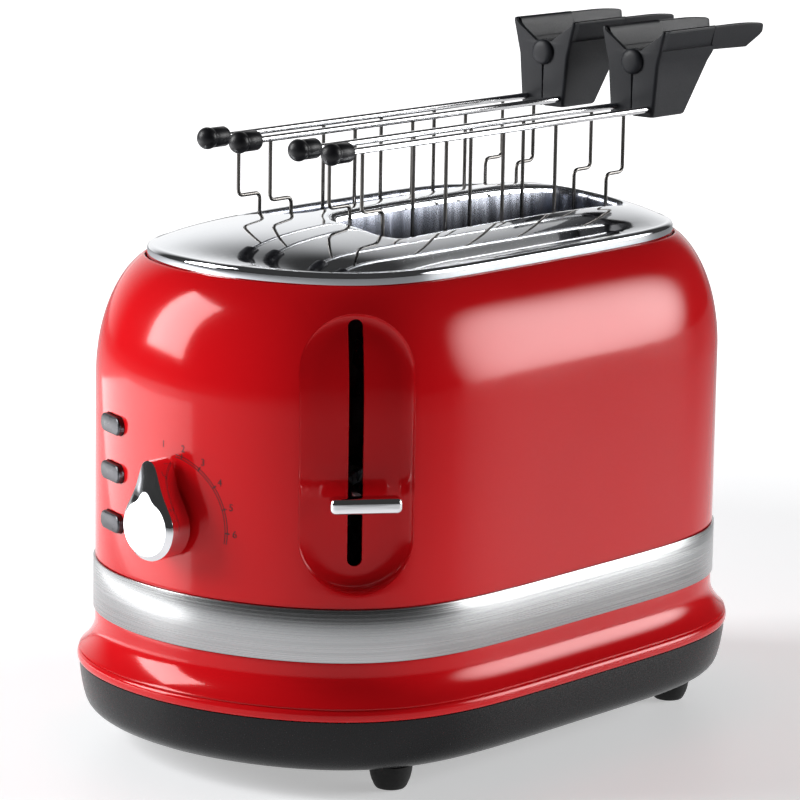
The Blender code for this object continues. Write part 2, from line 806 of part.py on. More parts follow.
def build_plate():
    """Domed plate with a rolled rim and two drawn slots whose collars hang into the shell."""
    roll = rings([(rim_inset + rim_round * (1 - math.cos(bend)), rim_side_z + rim_round * math.sin(bend))
                  for bend in np.linspace(0, math.pi / 2, 4)])
    edge = wall_points - wall_normals * (rim_inset + rim_round)
    dome = [on_dome(edge * share, 0) for share in dome_shares]
    under = [piece - (0, 0, plate_sheet) for piece in reversed(dome)]
    under += rings([(rim_inset + rim_round + plate_sheet / 2, rim_side_z + rim_round - plate_sheet),
                    (rim_inset + plate_sheet, rim_side_z), (rim_inset + plate_sheet, rim_foot_z)])
    plate = solid("top_plate", *domed_form([ring(rim_inset, rim_foot_z), *roll, *dome], under),
                  material=chrome, **fixed)
    outside = solid("plate_outside", *filled_dome_form([ring(rim_inset, collar_foot_z - overrun), *roll, *dome]),
                    **fixed)
    for side, name in ((-1, "near"), (1, "far")):
        collar = loft(f"{name}_collar", [level(slot_outline(plate_sheet, side), collar_foot_z),
                                         on_dome(slot_outline(plate_sheet, side), slot_lip * 2),
                                         on_dome(slot_outline(plate_sheet * 2, side), slot_lip),
                                         on_dome(slot_outline(slot_lip + plate_sheet, side), plate_sheet),
                                         level(slot_outline(slot_lip + plate_sheet, side), crown_z + overrun)],
                      **fixed)
        cut(collar, outside, "INTERSECT")
        cut(plate, collar, "UNION")
    for side, name in ((-1, "near"), (1, "far")):
        mouth = [level(slot_outline(0, side), collar_foot_z - overrun)]
        mouth += [on_dome(slot_outline(slot_lip * (1 - math.cos(step)), side), slot_lip * (1 - math.sin(step)))
                  for step in np.radians((0, 37, 74))]
        mouth.append(level(slot_outline(slot_lip, side), crown_z + overrun))
        cut(plate, loft(f"{name}_mouth", mouth, **fixed))


def build_chassis():
    """End plates on legs with lifter slots, and the flange that holds the rods."""
    edge = shield_y + chamber_sheet
    half = guide_slot_width / 2
    across = sorted(side * spot for side in (-1, 1)
                    for spot in (edge, edge - leg_width, slot_pitch / 2 + half, slot_pitch / 2 - half))
    heights = [inner_floor_z + clearance, chamber_low_z,
               lifter_top_z - lifter_depth - lifter_down - guide_slot_margin,
               lifter_top_z + lifter_up + guide_slot_margin, chamber_high_z]

    def keep(column, row):
        if row == 0:
            return column in (0, 6)
        return row != 2 or column not in (2, 4)

    front_x = chamber_front_x - chamber_sheet
    front = lattice("chassis_front", across, heights, keep, front_x, chamber_front_x, along_x=False,
                    material=zinc, **fixed)
    lattice("chassis_rear", across, heights, keep, chamber_back_x, chamber_back_x + chamber_sheet, along_x=False,
            material=zinc, **fixed)
    cut(front, box("rod_flange", (front_x - top_flange_reach, -top_flange_half_width, chamber_high_z - chamber_sheet),
                   (front_x + chamber_sheet / 2, top_flange_half_width, chamber_high_z), **fixed), "UNION")
    hole = [(rod_radius + clearance, chamber_high_z - overrun), (rod_radius + clearance, chamber_high_z + overrun)]
    cut(front, joined("rod_holes", [lathe_form(hole, 12, place=(rod_x, y, 0)) for y in (-rod_y, rod_y)], **fixed))


def build_shields():
    """Side sheets of the chamber, each with a foot flange screwed through the pan."""
    edge = shield_y + chamber_sheet
    low_z = inner_floor_z + clearance
    profile = np.array([(shield_y, low_z), (edge + shield_flange, low_z),
                        (edge + shield_flange, low_z + chamber_sheet), (edge, low_z + chamber_sheet),
                        (edge, chamber_high_z), (shield_y, chamber_high_z)])
    hole = [(screw_shank_radius + clearance, low_z - overrun), (screw_shank_radius + clearance, low_z + overrun)]
    for side, name in ((-1, "near"), (1, "far")):
        ends = [upright(profile * (side, 1), x) for x in (chamber_front_x + clearance, chamber_back_x - clearance)]
        shield = loft(f"inner_shield_{name}", ends, material=zinc, **fixed)
        cut(shield, joined(f"{name}_shield_holes", [lathe_form(hole, 8, place=(*spot, 0)) for spot in screw_spots()],
                           **fixed))


def build_heaters():
    """Mica cards with a ribbon laid to and fro on each face that looks at bread."""
    low_x, high_x = chamber_front_x + clearance, chamber_back_x - clearance
    for name, y in (("near", -card_y), ("centre", 0), ("far", card_y)):
        box(f"heater_card_{name}", (low_x, y - card_sheet / 2, card_low_z), (high_x, y + card_sheet / 2, card_high_z),
            material=mica, **fixed)
    left, right = low_x + ribbon_side_margin, high_x - ribbon_side_margin
    across = [left, left + ribbon_height, right - ribbon_height, right]
    starts = np.linspace(card_low_z + ribbon_edge_margin, card_high_z - ribbon_edge_margin - ribbon_height, ribbon_rows)
    heights = sorted([*starts, *(starts + ribbon_height)])
    near = card_sheet / 2 + clearance
    far = near + ribbon_sheet

    def keep(column, row):
        return row % 2 == 0 or column == row % 4 - 1

    for number, (y, side) in enumerate(((-card_y, 1), (0, -1), (0, 1), (card_y, -1)), 1):
        low_y, high_y = sorted((y + side * near, y + side * far))
        lattice(f"heater_ribbon_{number}", across, heights, keep, low_y, high_y, material=nichrome, **fixed)


def build_guards():
    """Wire grilles that keep bread off the ribbons."""
    low_x, high_x = chamber_front_x + clearance, chamber_back_x - clearance
    starts = np.linspace(low_x, high_x - guard_bar, guard_uprights)
    across = sorted([*starts, *(starts + guard_bar)])
    heights = [guard_low_z, guard_low_z + guard_bar, guard_high_z - guard_bar, guard_high_z]
    middles = [side * slot_pitch / 2 + offset for side in (-1, 1) for offset in (-guard_offset, guard_offset)]

    def keep(column, row):
        return column % 2 == 0 or row % 2 == 0

    for number, y in enumerate(middles, 1):
        lattice(f"bread_guard_{number}", across, heights, keep, y - guard_bar / 2, y + guard_bar / 2,
                material=wire_steel, **fixed)


def build_magnet():
    foot_z = inner_floor_z + clearance
    deck_z = foot_z + magnet_foot_height
    core_top = carriage_low_z - lifter_down - clearance
    lathe("latch_magnet", [(magnet_foot_radius, foot_z), (magnet_foot_radius, deck_z), (magnet_core_radius, deck_z),
                           (magnet_core_radius, core_top)], 16, material=zinc, parent=stand, place=(magnet_x, 0, 0))
    bore = magnet_core_radius + clearance
    low_z, eased = deck_z + clearance, winding_radius - winding_round
    lathe("magnet_winding", [(bore, low_z), (eased, low_z), (winding_radius, low_z + winding_round),
                             (winding_radius, winding_high_z - winding_round), (eased, winding_high_z),
                             (bore, winding_high_z)],
          16, looped=True, material=copper, parent=stand, place=(magnet_x, 0, 0))


def build_boards():
    """Control board behind the dial, and the button board with its switches."""
    low_z = inner_floor_z + post_rise + clearance
    board = box("control_board", (board_x, -board_half_width, low_z),
                (board_x + board_sheet, board_half_width, board_high_z), material=board_green, **fixed)
    root = board_x + board_sheet / 2
    parts = []
    for size, (y, z) in ((relay_size, relay_spot), (chip_size, chip_spot), (terminal_size, terminal_spot)):
        parts.append(box_form((root, y - size[1] / 2, z - size[2] / 2),
                              (root + size[0], y + size[1] / 2, z + size[2] / 2)))
    cut(board, joined("board_parts", parts, **fixed), "UNION")
    lathe("potentiometer", [(potentiometer_radius, -potentiometer_depth), (potentiometer_radius, 0)], 20, "x",
          material=zinc, parent=stand, place=(board_x - clearance, dial_y, dial_z))
    switch_x = -button_stem_back - button_travel - clearance
    front = switch_x - switch_depth
    board = box("button_board", (front - board_sheet, -button_board_width / 2, low_z),
                (front, button_board_width / 2, button_board_high_z), material=board_green, **button_frame)
    half = switch_size / 2
    switches = [box_form((front - board_sheet / 2, -half, z - half), (switch_x, half, z + half)) for z in button_zs]
    cut(board, joined("button_switches", switches, **button_frame), "UNION")


def build_fittings():
    """Guide rods, the cable bush and the screws under the base."""
    rod = [(rod_radius, inner_floor_z + clearance), (rod_radius, chamber_high_z + rod_over)]
    for side, name in ((-1, "near"), (1, "far")):
        lathe(f"guide_rod_{name}", rod, 12, material=wire_steel, parent=stand, place=(rod_x, side * rod_y, 0))
    place = (bush_x, 0, bush_z)
    back, face = bush_face_y - bush_flange_depth, bush_face_y
    bush = lathe("cable_bush", [(bush_bore, back), (bush_flange, back), (bush_flange, face - clearance),
                                (bush_flange - clearance, face), (bush_bore, face)],
                 12, "y", looped=True, material=part_black, parent=stand, place=place)
    cut(bush, pan_solid("bush_seat", -clearance, **fixed))
    low, high = wall_half_width - clearance, bush_face_y - clearance
    cut(bush, lathe("bush_neck", [(bush_bore, low), (bush_neck, low), (bush_neck, high), (bush_bore, high)],
                    12, "y", looped=True, parent=stand, place=place), "UNION")
    head_z = pan_bottom_z - clearance
    screw = [(screw_head_radius - clearance, head_z - screw_head_height), (screw_head_radius, head_z - clearance),
             (screw_head_radius, head_z), (screw_shank_radius, head_z),
             (screw_shank_radius, inner_floor_z + chamber_sheet + screw_over)]
    for name, spot in zip(("near", "far"), screw_spots()):
        lathe(f"base_screw_{name}", screw, 10, material=zinc, parent=stand, place=(*spot, 0))


def build_carriage():
    """Plate on two bushes, the armature tab, and the bent arm that leaves by the lever slot."""
    low_x = carriage_x - carriage_sheet
    side = -carriage_half_width
    arm_top = lever_z + arm_height / 2
    outline = np.array([(side, carriage_low_z), (-side, carriage_low_z), (-side, carriage_high_z),
                        (side + upright_width, carriage_high_z), (side + upright_width, arm_top), (side, arm_top)])
    carriage = loft("carriage", [upright(outline, x) for x in (low_x, carriage_x)], material=zinc, **fixed)
    bore = rod_radius + clearance
    low_z, high_z = carriage_low_z - bush_over, carriage_high_z + bush_over
    bush = [(bore, low_z), (bush_radius, low_z), (bush_radius, high_z), (bore, high_z)]
    cut(carriage, joined("carriage_bushes", [lathe_form(bush, 16, looped=True, place=(rod_x, y, 0))
                                             for y in (-rod_y, rod_y)], **fixed), "UNION")
    cut(carriage, box("armature_tab", (low_x - armature_reach, -armature_half_width, carriage_low_z),
                      (low_x + carriage_sheet / 2, armature_half_width, carriage_low_z + carriage_sheet), **fixed),
        "UNION")
    path = [(carriage_x - carriage_sheet / 2, arm_root_y),
            recess_spot - recess_out * (recess_depth + arm_inner_reach),
            recess_spot + recess_out * (bar_stand + socket_depth - clearance)]
    cut(carriage, prism("lever_arm", strip_outline(path, arm_thickness), lever_z - arm_height / 2 + clearance,
                        arm_top - clearance, **fixed), "UNION")


def build_lever_bar():
    back, front = [], []
    for inward, depth in bar_edge_shares:
        outline = rounded_rectangle(bar_width / 2 - bar_round * inward, bar_height / 2 - bar_round * inward,
                                    bar_round * (1 - inward / 2), 3) + (bar_shift, lever_z)
        back.append(upright(outline, bar_stand + bar_round * depth))
        front.append(upright(outline, bar_stand + bar_depth - bar_round * depth))
    bar = loft("lever_bar", [*back, *reversed(front)], material=chrome, **recess_frame)
    half_hole = arm_thickness / 2 + clearance
    cut(bar, box("bar_socket", (-overrun, -half_hole, lever_z - arm_height / 2),
                 (bar_stand + socket_depth, half_hole, lever_z + arm_height / 2), **recess_frame))


def build_lifters():
    """Edge-on strips with cross tabs, joined to the carriage through the chamber's front plate."""
    middle_x = (slot_front_x + slot_back_x) / 2
    reach = (slot_back_x - slot_front_x) / 2 - tab_margin
    for side, name in ((-1, "near"), (1, "far")):
        y = side * slot_pitch / 2
        lifter = box(f"lifter_{name}", (carriage_x + clearance, y - lifter_sheet / 2, lifter_top_z - lifter_depth),
                     (chamber_back_x + chamber_sheet + lifter_tail, y + lifter_sheet / 2, lifter_top_z),
                     material=wire_steel, **fixed)
        tabs = [box_form((x - tab_length / 2, y - tab_width / 2, lifter_top_z - tab_sheet),
                         (x + tab_length / 2, y + tab_width / 2, lifter_top_z))
                for x in np.linspace(middle_x - reach, middle_x + reach, tab_count)]
        cut(lifter, joined(f"{name}_lifter_tabs", tabs, **fixed), "UNION")


def build_spring():
    low = carriage_low_z + carriage_sheet + clearance + spring_wire_radius
    high = chamber_high_z - chamber_sheet - clearance - spring_wire_radius
    turn = np.linspace(0, math.tau * spring_curls, spring_curls * spring_curl_points + 1)
    helix = level(spring_radius * np.column_stack([np.cos(turn), np.sin(turn)]), low)
    helix[:, 2] += (high - low) * turn / turn[-1]
    sweep("return_spring", helix, spring_wire_radius, 6, material=wire_steel, parent=stand,
          place=(spring_x, spring_y, 0))


def teardrop(inset):
    """Round body with a pointer, as (across, height) round the dial's centre."""
    lean = math.acos((dial_radius - dial_tip_radius) / dial_tip_reach)
    big = np.linspace(math.pi / 2 + lean, math.tau + math.pi / 2 - lean, 25)
    small = np.linspace(math.pi / 2 - lean, math.pi / 2 + lean, 8)
    body = (dial_radius - inset) * np.column_stack([np.cos(big), np.sin(big)])
    tip = (dial_tip_radius - inset) * np.column_stack([np.cos(small), np.sin(small)]) + (0, dial_tip_reach)
    return np.vstack([body, tip])


def build_dial():
    where = {"parent": stand, "place": (dial_wall_x, dial_y, dial_z)}
    back, front = -dial_stand, -dial_stand - dial_depth
    knob = loft("dial_knob", [upright(teardrop(clearance), back), upright(teardrop(0), back - clearance),
                              upright(teardrop(0), front),
                              upright(teardrop(dial_face_inset), front - dial_face_rise)],
                material=chrome, **where)
    bore = shaft_radius + clearance
    cut(knob, lathe("dial_bore", [(bore, back - dial_bore_depth), (bore, back + overrun)], 16, "x", **where))
    inner_end = board_x - potentiometer_depth - 2 * clearance - dial_wall_x
    lathe("dial_shaft", [(shaft_radius, back - dial_bore_depth + shaft_margin), (shaft_radius, inner_end)], 16, "x",
          material=zinc, **where)


def build_buttons():
    """Caps with a stop flange behind the wall and a stem to the switch."""
    half_y, half_z, corner = button_width / 2 - clearance, button_height / 2 - clearance, button_corner - clearance
    eased = button_round / 3
    cap = rounded_rectangle(half_y, half_z, corner, 3)
    rim = rounded_rectangle(half_y - eased, half_z - eased, corner - eased, 3)
    face = rounded_rectangle(half_y - button_round, half_z - button_round, corner - button_round, 3)
    stop = rounded_rectangle(half_y + button_stop, half_z + button_stop, corner, 3)
    stem = rounded_rectangle(button_stem / 2, button_stem / 2, button_stem / 8, 3)
    stages = [upright(stem, -button_stem_back), upright(stem, -button_stop_back), upright(stop, -button_stop_back),
              upright(stop, -button_stop_front), upright(cap, -button_stop_front),
              upright(cap, button_proud - button_round), upright(rim, button_proud - eased),
              upright(face, button_proud)]
    for number, height in enumerate(button_zs, 1):
        loft(f"button_{number}", stages, material=chrome, parent=stand, place=(*button_spot, height), turn=button_angle)


def build_crumb_tray():
    """Shallow tray that slides out by the end, its front closing the pan."""
    low_z, top_z = inner_floor_z + clearance, inner_floor_z + tray_front_height
    far_x = wall_half_length + 4 * overrun
    tray = box("crumb_tray", (tray_inner_x, -tray_half_width, low_z), (far_x, tray_half_width, top_z),
               material=zinc, **fixed)
    cut(tray, pan_solid("tray_outside", 0, **fixed), "INTERSECT")
    hollow = box("tray_hollow", (tray_inner_x + tray_sheet, -tray_half_width + tray_sheet, low_z + tray_sheet),
                 (far_x, tray_half_width - tray_sheet, top_z + overrun), **fixed)
    cut(hollow, pan_solid("tray_inside", pan_wall, **fixed), "INTERSECT")
    cut(tray, hollow)
    cut(tray, box("tray_sides", (tray_inner_x - overrun, -tray_half_width - overrun, low_z + tray_height),
                  (wall_half_length - tray_front_reach, tray_half_width + overrun, top_z + overrun), **fixed))
    pull_x = wall_half_length - tray_pull_inset
    cut(tray, box("tray_pull", (pull_x - pan_wall / 2, -tray_pull_half_width, top_z - tray_pull_height),
                  (pull_x + tray_pull_reach, tray_pull_half_width, top_z), **fixed), "UNION")


def build_panel(name, side, jaw):
    """One side of a cage: a rail, three straight wires, two hooked end wires and two cross wires."""
    y = side * cage_half_gap
    rail, foot, hook = rail_z - pivot_z, cage_foot_z - pivot_z, cage_hook_z - pivot_z
    start, end = rail_front_x - cap_socket + clearance, grip_front_x + rail_socket_length
    panel = sweep(f"{name}_panel", [(start, y, rail), (end, y, rail)], rail_radius, 8,
                  material=wire_steel, parent=jaw)
    paths = []
    for x in cage_wire_xs:
        paths.append([(x, y, rail), (x, y, foot + 2 * wire_radius), (x, y - side * 2 * wire_radius, foot),
                      (x, y - side * cage_ledge, foot)])
    for hook_x, side_x in zip(cage_hook_xs, cage_side_xs):
        reach = math.copysign(cage_hook_round, side_x - hook_x)
        drop = cage_hook_round
        paths.append([(hook_x, y, rail), (hook_x, y, hook + drop), (hook_x + reach / 3, y, hook + drop / 3),
                      (hook_x + reach, y, hook), (side_x - reach, y, hook), (side_x - reach / 3, y, hook - drop / 3),
                      (side_x, y, hook - drop), (side_x, y, foot)])
    for number, path in enumerate(paths, 1):
        cut(panel, sweep(f"{name}_wire_{number}", path, wire_radius, 6, parent=jaw), "UNION")
    front, back = cage_side_xs[0] - 2 * wire_radius, cage_side_xs[1] + 2 * wire_radius
    for number, height in enumerate(cage_cross_zs, 1):
        ends = [(x, y, height - pivot_z) for x in (front, back)]
        cut(panel, sweep(f"{name}_cross_{number}", ends, cross_wire_radius, 6, parent=jaw), "UNION")


def build_cap(name, side, jaw):
    tip = rail_front_x - cap_length
    bore = rail_radius + clearance
    profile = [(cap_radius * reach, tip + cap_round * height) for reach, height in cap_edge_shares]
    profile += [(cap_radius, rail_front_x - clearance), (cap_radius - clearance, rail_front_x),
                (bore, rail_front_x), (bore, rail_front_x - cap_socket)]
    solid(f"{name}_cap", *lathe_form(profile, 12, "x", place=(0, side * cage_half_gap, rail_z - pivot_z)),
          material=grip_black, parent=jaw)


def grip_half(height):
    """Outer half width of a closed grip at a height."""
    return np.interp(height, (grip_foot_z, grip_waist_z, grip_top_z), (grip_foot_half, grip_waist_half, grip_top_half))


def grip_sections(side):
    """Front plate and side wall in one L section, notched in a V towards the top."""
    x, bend = grip_front_x, grip_wall / 2
    heights = (grip_foot_z, (grip_foot_z + grip_waist_z) / 2, grip_waist_z, (grip_waist_z + grip_notch_z) / 2,
               grip_notch_z, (grip_notch_z + grip_top_z) / 2, grip_top_z - bend, grip_top_z)
    sections = []
    for height in heights:
        half = grip_half(height)
        rise = max(0, height - grip_notch_z) / (grip_top_z - grip_notch_z)
        split = clearance / 2 if height < pivot_z else grip_split + rise * (half - grip_wing)
        back = x + np.interp(height, (grip_foot_z, grip_tab_low_z), (grip_foot_length, grip_back_length))
        outline = np.array([(x, split), (x, half - bend), (x + bend / 3, half - bend / 3), (x + bend, half),
                            (back, half), (back, half - grip_wall), (x + grip_wall + bend, half - grip_wall),
                            (x + grip_wall, half - grip_wall - bend), (x + grip_wall, split)])
        sections.append(level(outline * (1, side), height - pivot_z))
    return sections


def tab_sections(side):
    """Thumb tab that carries on from the top of the side wall, falling towards its tip."""
    straight = grip_tab_length - grip_tab_rake * 2
    lengths = (grip_back_length - grip_wall, straight, grip_tab_length - grip_tab_rake,
               grip_tab_length - grip_tab_rake / 3, grip_tab_length)
    sections = []
    for length, droop in zip(lengths, tab_droop_shares):
        high = grip_top_z - grip_tab_step - grip_tab_droop * droop
        low = grip_tab_low_z + max(0, length - straight) * tab_rake_share
        corners = [(grip_half(low) - grip_wall, low), (grip_half(low), low), (grip_half(high), high),
                   (grip_half(high) - grip_wall, high)]
        inward = (grip_tab_step, -grip_tab_step, -grip_tab_step, grip_tab_step)
        sections.append(np.array([(grip_front_x + length, side * (half + shift), height - pivot_z)
                                  for (half, height), shift in zip(corners, inward)]))
    return sections


def build_grip(name, side, jaw):
    """One half of a grip, with its rail socket and its knuckle on the pin."""
    x = grip_front_x
    grip = loft(f"{name}_grip", grip_sections(side), material=grip_black, parent=jaw)
    cut(grip, loft(f"{name}_tab", tab_sections(side), parent=jaw), "UNION")
    low_y, high_y = sorted((side * (cage_half_gap - rail_socket_half), side * (grip_half(rail_z) - grip_wall / 2)))
    cut(grip, box(f"{name}_rail_socket", (x + grip_wall / 2, low_y, grip_foot_z + clearance - pivot_z),
                  (x + rail_socket_length + grip_wall, high_y, rail_z + rail_socket_half - pivot_z), parent=jaw),
        "UNION")
    start = x + grip_wall + clearance + (0 if side < 0 else knuckle_length + clearance)
    cut(grip, lathe(f"{name}_knuckle", [(knuckle_radius, start), (knuckle_radius, start + knuckle_length)], 16, "x",
                    parent=jaw), "UNION")
    low_y, high_y = sorted((side * knuckle_radius / 2, side * (grip_half(pivot_z) - grip_wall / 2)))
    cut(grip, box(f"{name}_knuckle_web", (start + clearance, low_y, -knuckle_web_half),
                  (start + knuckle_length - clearance, high_y, knuckle_web_half), parent=jaw), "UNION")
    hole = pivot_radius + clearance
    cut(grip, lathe(f"{name}_pin_hole", [(hole, x - overrun), (hole, x + pivot_length + overrun)], 16, "x", parent=jaw))
    bore = [(rail_radius + clearance, x - overrun), (rail_radius + clearance, x + rail_socket_length + clearance)]
    cut(grip, solid(f"{name}_rail_bore", *lathe_form(bore, 10, "x", place=(0, side * cage_half_gap, rail_z - pivot_z)),
                    parent=jaw))


def build_cage(name, y):
    """A pin and two mirrored jaws of panel, cap and grip."""
    pivot = empty(f"cage_{name}", parent=stand, place=(0, y, pivot_z))
    seat = grip_front_x - clearance
    profile = [(pivot_head_radius * reach, seat - pivot_head_height * height) for reach, height in pin_head_shares]
    profile += [(pivot_radius, seat), (pivot_radius, grip_front_x + pivot_length)]
    lathe(f"{name}_pivot_pin", profile, 16, "x", material=chrome, parent=pivot)
    for side, jaw_name in ((-1, "left"), (1, "right")):
        jaw = empty(f"{name}_{jaw_name}_jaw", parent=pivot)
        build_panel(f"{name}_{jaw_name}", side, jaw)
        build_cap(f"{name}_{jaw_name}", side, jaw)
        build_grip(f"{name}_{jaw_name}", side, jaw)


build_shell()
build_band()
build_skirt()
build_pan()
build_feet()
build_plate()
build_chassis()
build_shields()
build_heaters()
build_guards()
build_magnet()
build_boards()
build_fittings()
build_carriage()
build_lever_bar()
build_lifters()
build_spring()
build_dial()
build_buttons()
build_crumb_tray()
build_cage("near", -slot_pitch / 2)
build_cage("far", slot_pitch / 2)
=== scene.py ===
# Two-slot toaster with lift-out sandwich cages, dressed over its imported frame
import math
import bmesh
import bpy
import numpy as np
from mathutils import Matrix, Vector
from mathutils.geometry import delaunay_2d_cdt


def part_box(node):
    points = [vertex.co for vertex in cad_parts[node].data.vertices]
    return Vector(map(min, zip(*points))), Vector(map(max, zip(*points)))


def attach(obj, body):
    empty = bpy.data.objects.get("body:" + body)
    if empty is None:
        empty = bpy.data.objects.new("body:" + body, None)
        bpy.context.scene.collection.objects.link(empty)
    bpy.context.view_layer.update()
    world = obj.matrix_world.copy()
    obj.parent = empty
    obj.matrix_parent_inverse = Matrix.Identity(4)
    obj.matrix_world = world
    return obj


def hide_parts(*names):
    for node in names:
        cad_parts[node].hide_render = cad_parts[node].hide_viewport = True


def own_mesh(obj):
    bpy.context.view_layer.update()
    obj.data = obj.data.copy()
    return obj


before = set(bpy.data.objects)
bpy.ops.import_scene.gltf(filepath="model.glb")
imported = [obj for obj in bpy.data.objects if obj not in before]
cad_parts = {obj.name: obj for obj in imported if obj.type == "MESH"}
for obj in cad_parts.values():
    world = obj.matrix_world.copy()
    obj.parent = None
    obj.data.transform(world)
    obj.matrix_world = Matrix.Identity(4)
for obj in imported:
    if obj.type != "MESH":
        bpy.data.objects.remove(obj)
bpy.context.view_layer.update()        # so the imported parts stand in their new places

mm = 0.001
middleX = -14.8          # middle of the shell along X, in mm
bodyX = middleX * mm
patternSpread = (0.3, 0.7)   # where noise is taken to begin and end

# finishes

def newFinish(name, look):
    # a Principled material with its plain values on the shader's own sockets
    material = bpy.data.materials.new(name)
    material.use_nodes = True
    tree = material.node_tree
    shader = tree.nodes["Principled BSDF"]
    for socket, value in look.items():
        shader.inputs[socket].default_value = (*value, 1) if isinstance(value, tuple) else value
    place = tree.nodes.new("ShaderNodeTexCoord").outputs["Object"]
    return {"material": material, "tree": tree, "shader": shader, "place": place, "normal": None}


def scaledPlace(finish, fineness):
    # object coordinates times so many features per metre along each axis
    mapping = finish["tree"].nodes.new("ShaderNodeMapping")
    mapping.inputs["Scale"].default_value = fineness if isinstance(fineness, tuple) else (fineness,) * 3
    finish["tree"].links.new(finish["place"], mapping.inputs["Vector"])
    return mapping.outputs["Vector"]


def noisePattern(finish, fineness, detail=3.0):
    # soft noise with so many features per metre
    noise = finish["tree"].nodes.new("ShaderNodeTexNoise")
    noise.inputs["Scale"].default_value = 1.0
    noise.inputs["Detail"].default_value = detail
    finish["tree"].links.new(scaledPlace(finish, fineness), noise.inputs["Vector"])
    return noise.outputs["Fac"]


def cellPattern(finish, fineness):
    # flat cells of random value, as on zinc or mica
    cells = finish["tree"].nodes.new("ShaderNodeTexVoronoi")
    cells.inputs["Scale"].default_value = 1.0
    finish["tree"].links.new(scaledPlace(finish, fineness), cells.inputs["Vector"])
    return cells.outputs["Color"]


def varyColour(finish, pattern, dark, light, edges=patternSpread):
    # the base colour runs from dark to light between the two edges of a pattern
    ramp = finish["tree"].nodes.new("ShaderNodeValToRGB")
    for spot, edge, colour in zip(ramp.color_ramp.elements, edges, (dark, light)):
        spot.position = edge
        spot.color = (*colour, 1)
    finish["tree"].links.new(pattern, ramp.inputs["Fac"])
    finish["tree"].links.new(ramp.outputs["Color"], finish["shader"].inputs["Base Color"])


def varyRoughness(finish, pattern, low, high):
    # the roughness runs from low to high over a pattern's spread
    spread = finish["tree"].nodes.new("ShaderNodeMapRange")
    for socket, value in zip(("From Min", "From Max", "To Min", "To Max"), (*patternSpread, low, high)):
        spread.inputs[socket].default_value = value
    finish["tree"].links.new(pattern, spread.inputs["Value"])
    finish["tree"].links.new(spread.outputs["Result"], finish["shader"].inputs["Roughness"])


def addRelief(finish, pattern, depth):
    # a bump of so many metres, laid over any bump before it
    relief = finish["tree"].nodes.new("ShaderNodeBump")
    relief.inputs["Distance"].default_value = depth
    finish["tree"].links.new(pattern, relief.inputs["Height"])
    if finish["normal"]:
        finish["tree"].links.new(finish["normal"], relief.inputs["Normal"])
    finish["normal"] = relief.outputs["Normal"]
    finish["tree"].links.new(finish["normal"], finish["shader"].inputs["Normal"])


enamel = {"look": {"Roughness": 0.12, "IOR": 1.5, "Specular IOR Level": 0.34,
                   "Specular Tint": (1.0, 0.50, 0.50), "Coat Weight": 0.12, "Coat Roughness": 0.02},
          "dark": (0.60, 0.0045, 0.0080), "light": (0.66, 0.0058, 0.0096), "cloud": 9.0,
          "roughness": (0.10, 0.15), "smear": 45.0, "peel": 420.0, "peelDepth": 0.0000012}


def enamelFinish():
    # red enamel with a faint cloud, smears of handling and orange peel
    finish = newFinish("redEnamel", enamel["look"])
    varyColour(finish, noisePattern(finish, enamel["cloud"], 2.0), enamel["dark"], enamel["light"])
    varyRoughness(finish, noisePattern(finish, enamel["smear"]), *enamel["roughness"])
    addRelief(finish, noisePattern(finish, enamel["peel"], 1.0), enamel["peelDepth"])
    return finish["material"]


def metalFinish(name, colour, roughness, grain, grainDepth, shade):
    # bare metal with a faint cloud of handling marks, or drawn grain where it has one
    finish = newFinish(name, {"Metallic": 1.0, "Roughness": roughness})
    pattern = noisePattern(finish, grain, 4.0) if grain else noisePattern(finish, 60.0, 2.0)
    varyColour(finish, pattern, tuple(part * shade for part in colour), colour)
    varyRoughness(finish, pattern, roughness * 0.8, roughness * 1.25)
    if grainDepth:
        addRelief(finish, pattern, grainDepth)
    return finish["material"]


def plasticFinish(name, dark, light, roughness, grain, depth):
    # moulded plastic or rubber with a fine spark texture
    finish = newFinish(name, {"Roughness": roughness, "IOR": 1.48, "Specular IOR Level": 0.28})
    varyColour(finish, noisePattern(finish, 30.0), dark, light)
    spark = noisePattern(finish, grain, 2.0)
    varyRoughness(finish, spark, roughness * 0.88, roughness * 1.12)
    addRelief(finish, spark, depth)
    return finish["material"]


def cellFinish(name, dark, light, roughness, metallic, fineness):
    # zinc spangle or mica flakes
    finish = newFinish(name, {"Roughness": roughness, "Metallic": metallic})
    cells = cellPattern(finish, fineness)
    varyColour(finish, cells, dark, light, (0.15, 0.85))
    varyRoughness(finish, cells, roughness * 0.8, roughness * 1.2)
    return finish["material"]


metals = {  # colour, roughness, grain per metre along each axis, its depth, darkest share of the colour
    "brushedSteel": ((0.47, 0.475, 0.48), 0.26, (6.0, 6.0, 2600.0), 0.000004, 0.74),
    "polishedChrome": ((0.86, 0.88, 0.91), 0.05, None, 0.0, 0.97),
    "drawnCollar": ((0.66, 0.69, 0.78), 0.24, (160.0, 160.0, 14.0), 0.00008, 0.45),
    "chromedPlastic": ((0.84, 0.85, 0.87), 0.06, None, 0.0, 0.96),
    "buttonChrome": ((0.10, 0.10, 0.108), 0.32, (900.0, 40.0, 900.0), 0.000003, 0.70),
    "nichromeRibbon": ((0.30, 0.25, 0.22), 0.45, None, 0.0, 0.85),
    "wireSteel": ((0.72, 0.72, 0.73), 0.17, (12.0, 900.0, 900.0), 0.000001, 0.88),
    "darkWire": ((0.20, 0.19, 0.18), 0.26, (300.0, 300.0, 20.0), 0.000001, 0.70),
    "windingCopper": ((0.60, 0.24, 0.10), 0.30, (10.0, 10.0, 1800.0), 0.00005, 0.6),
}
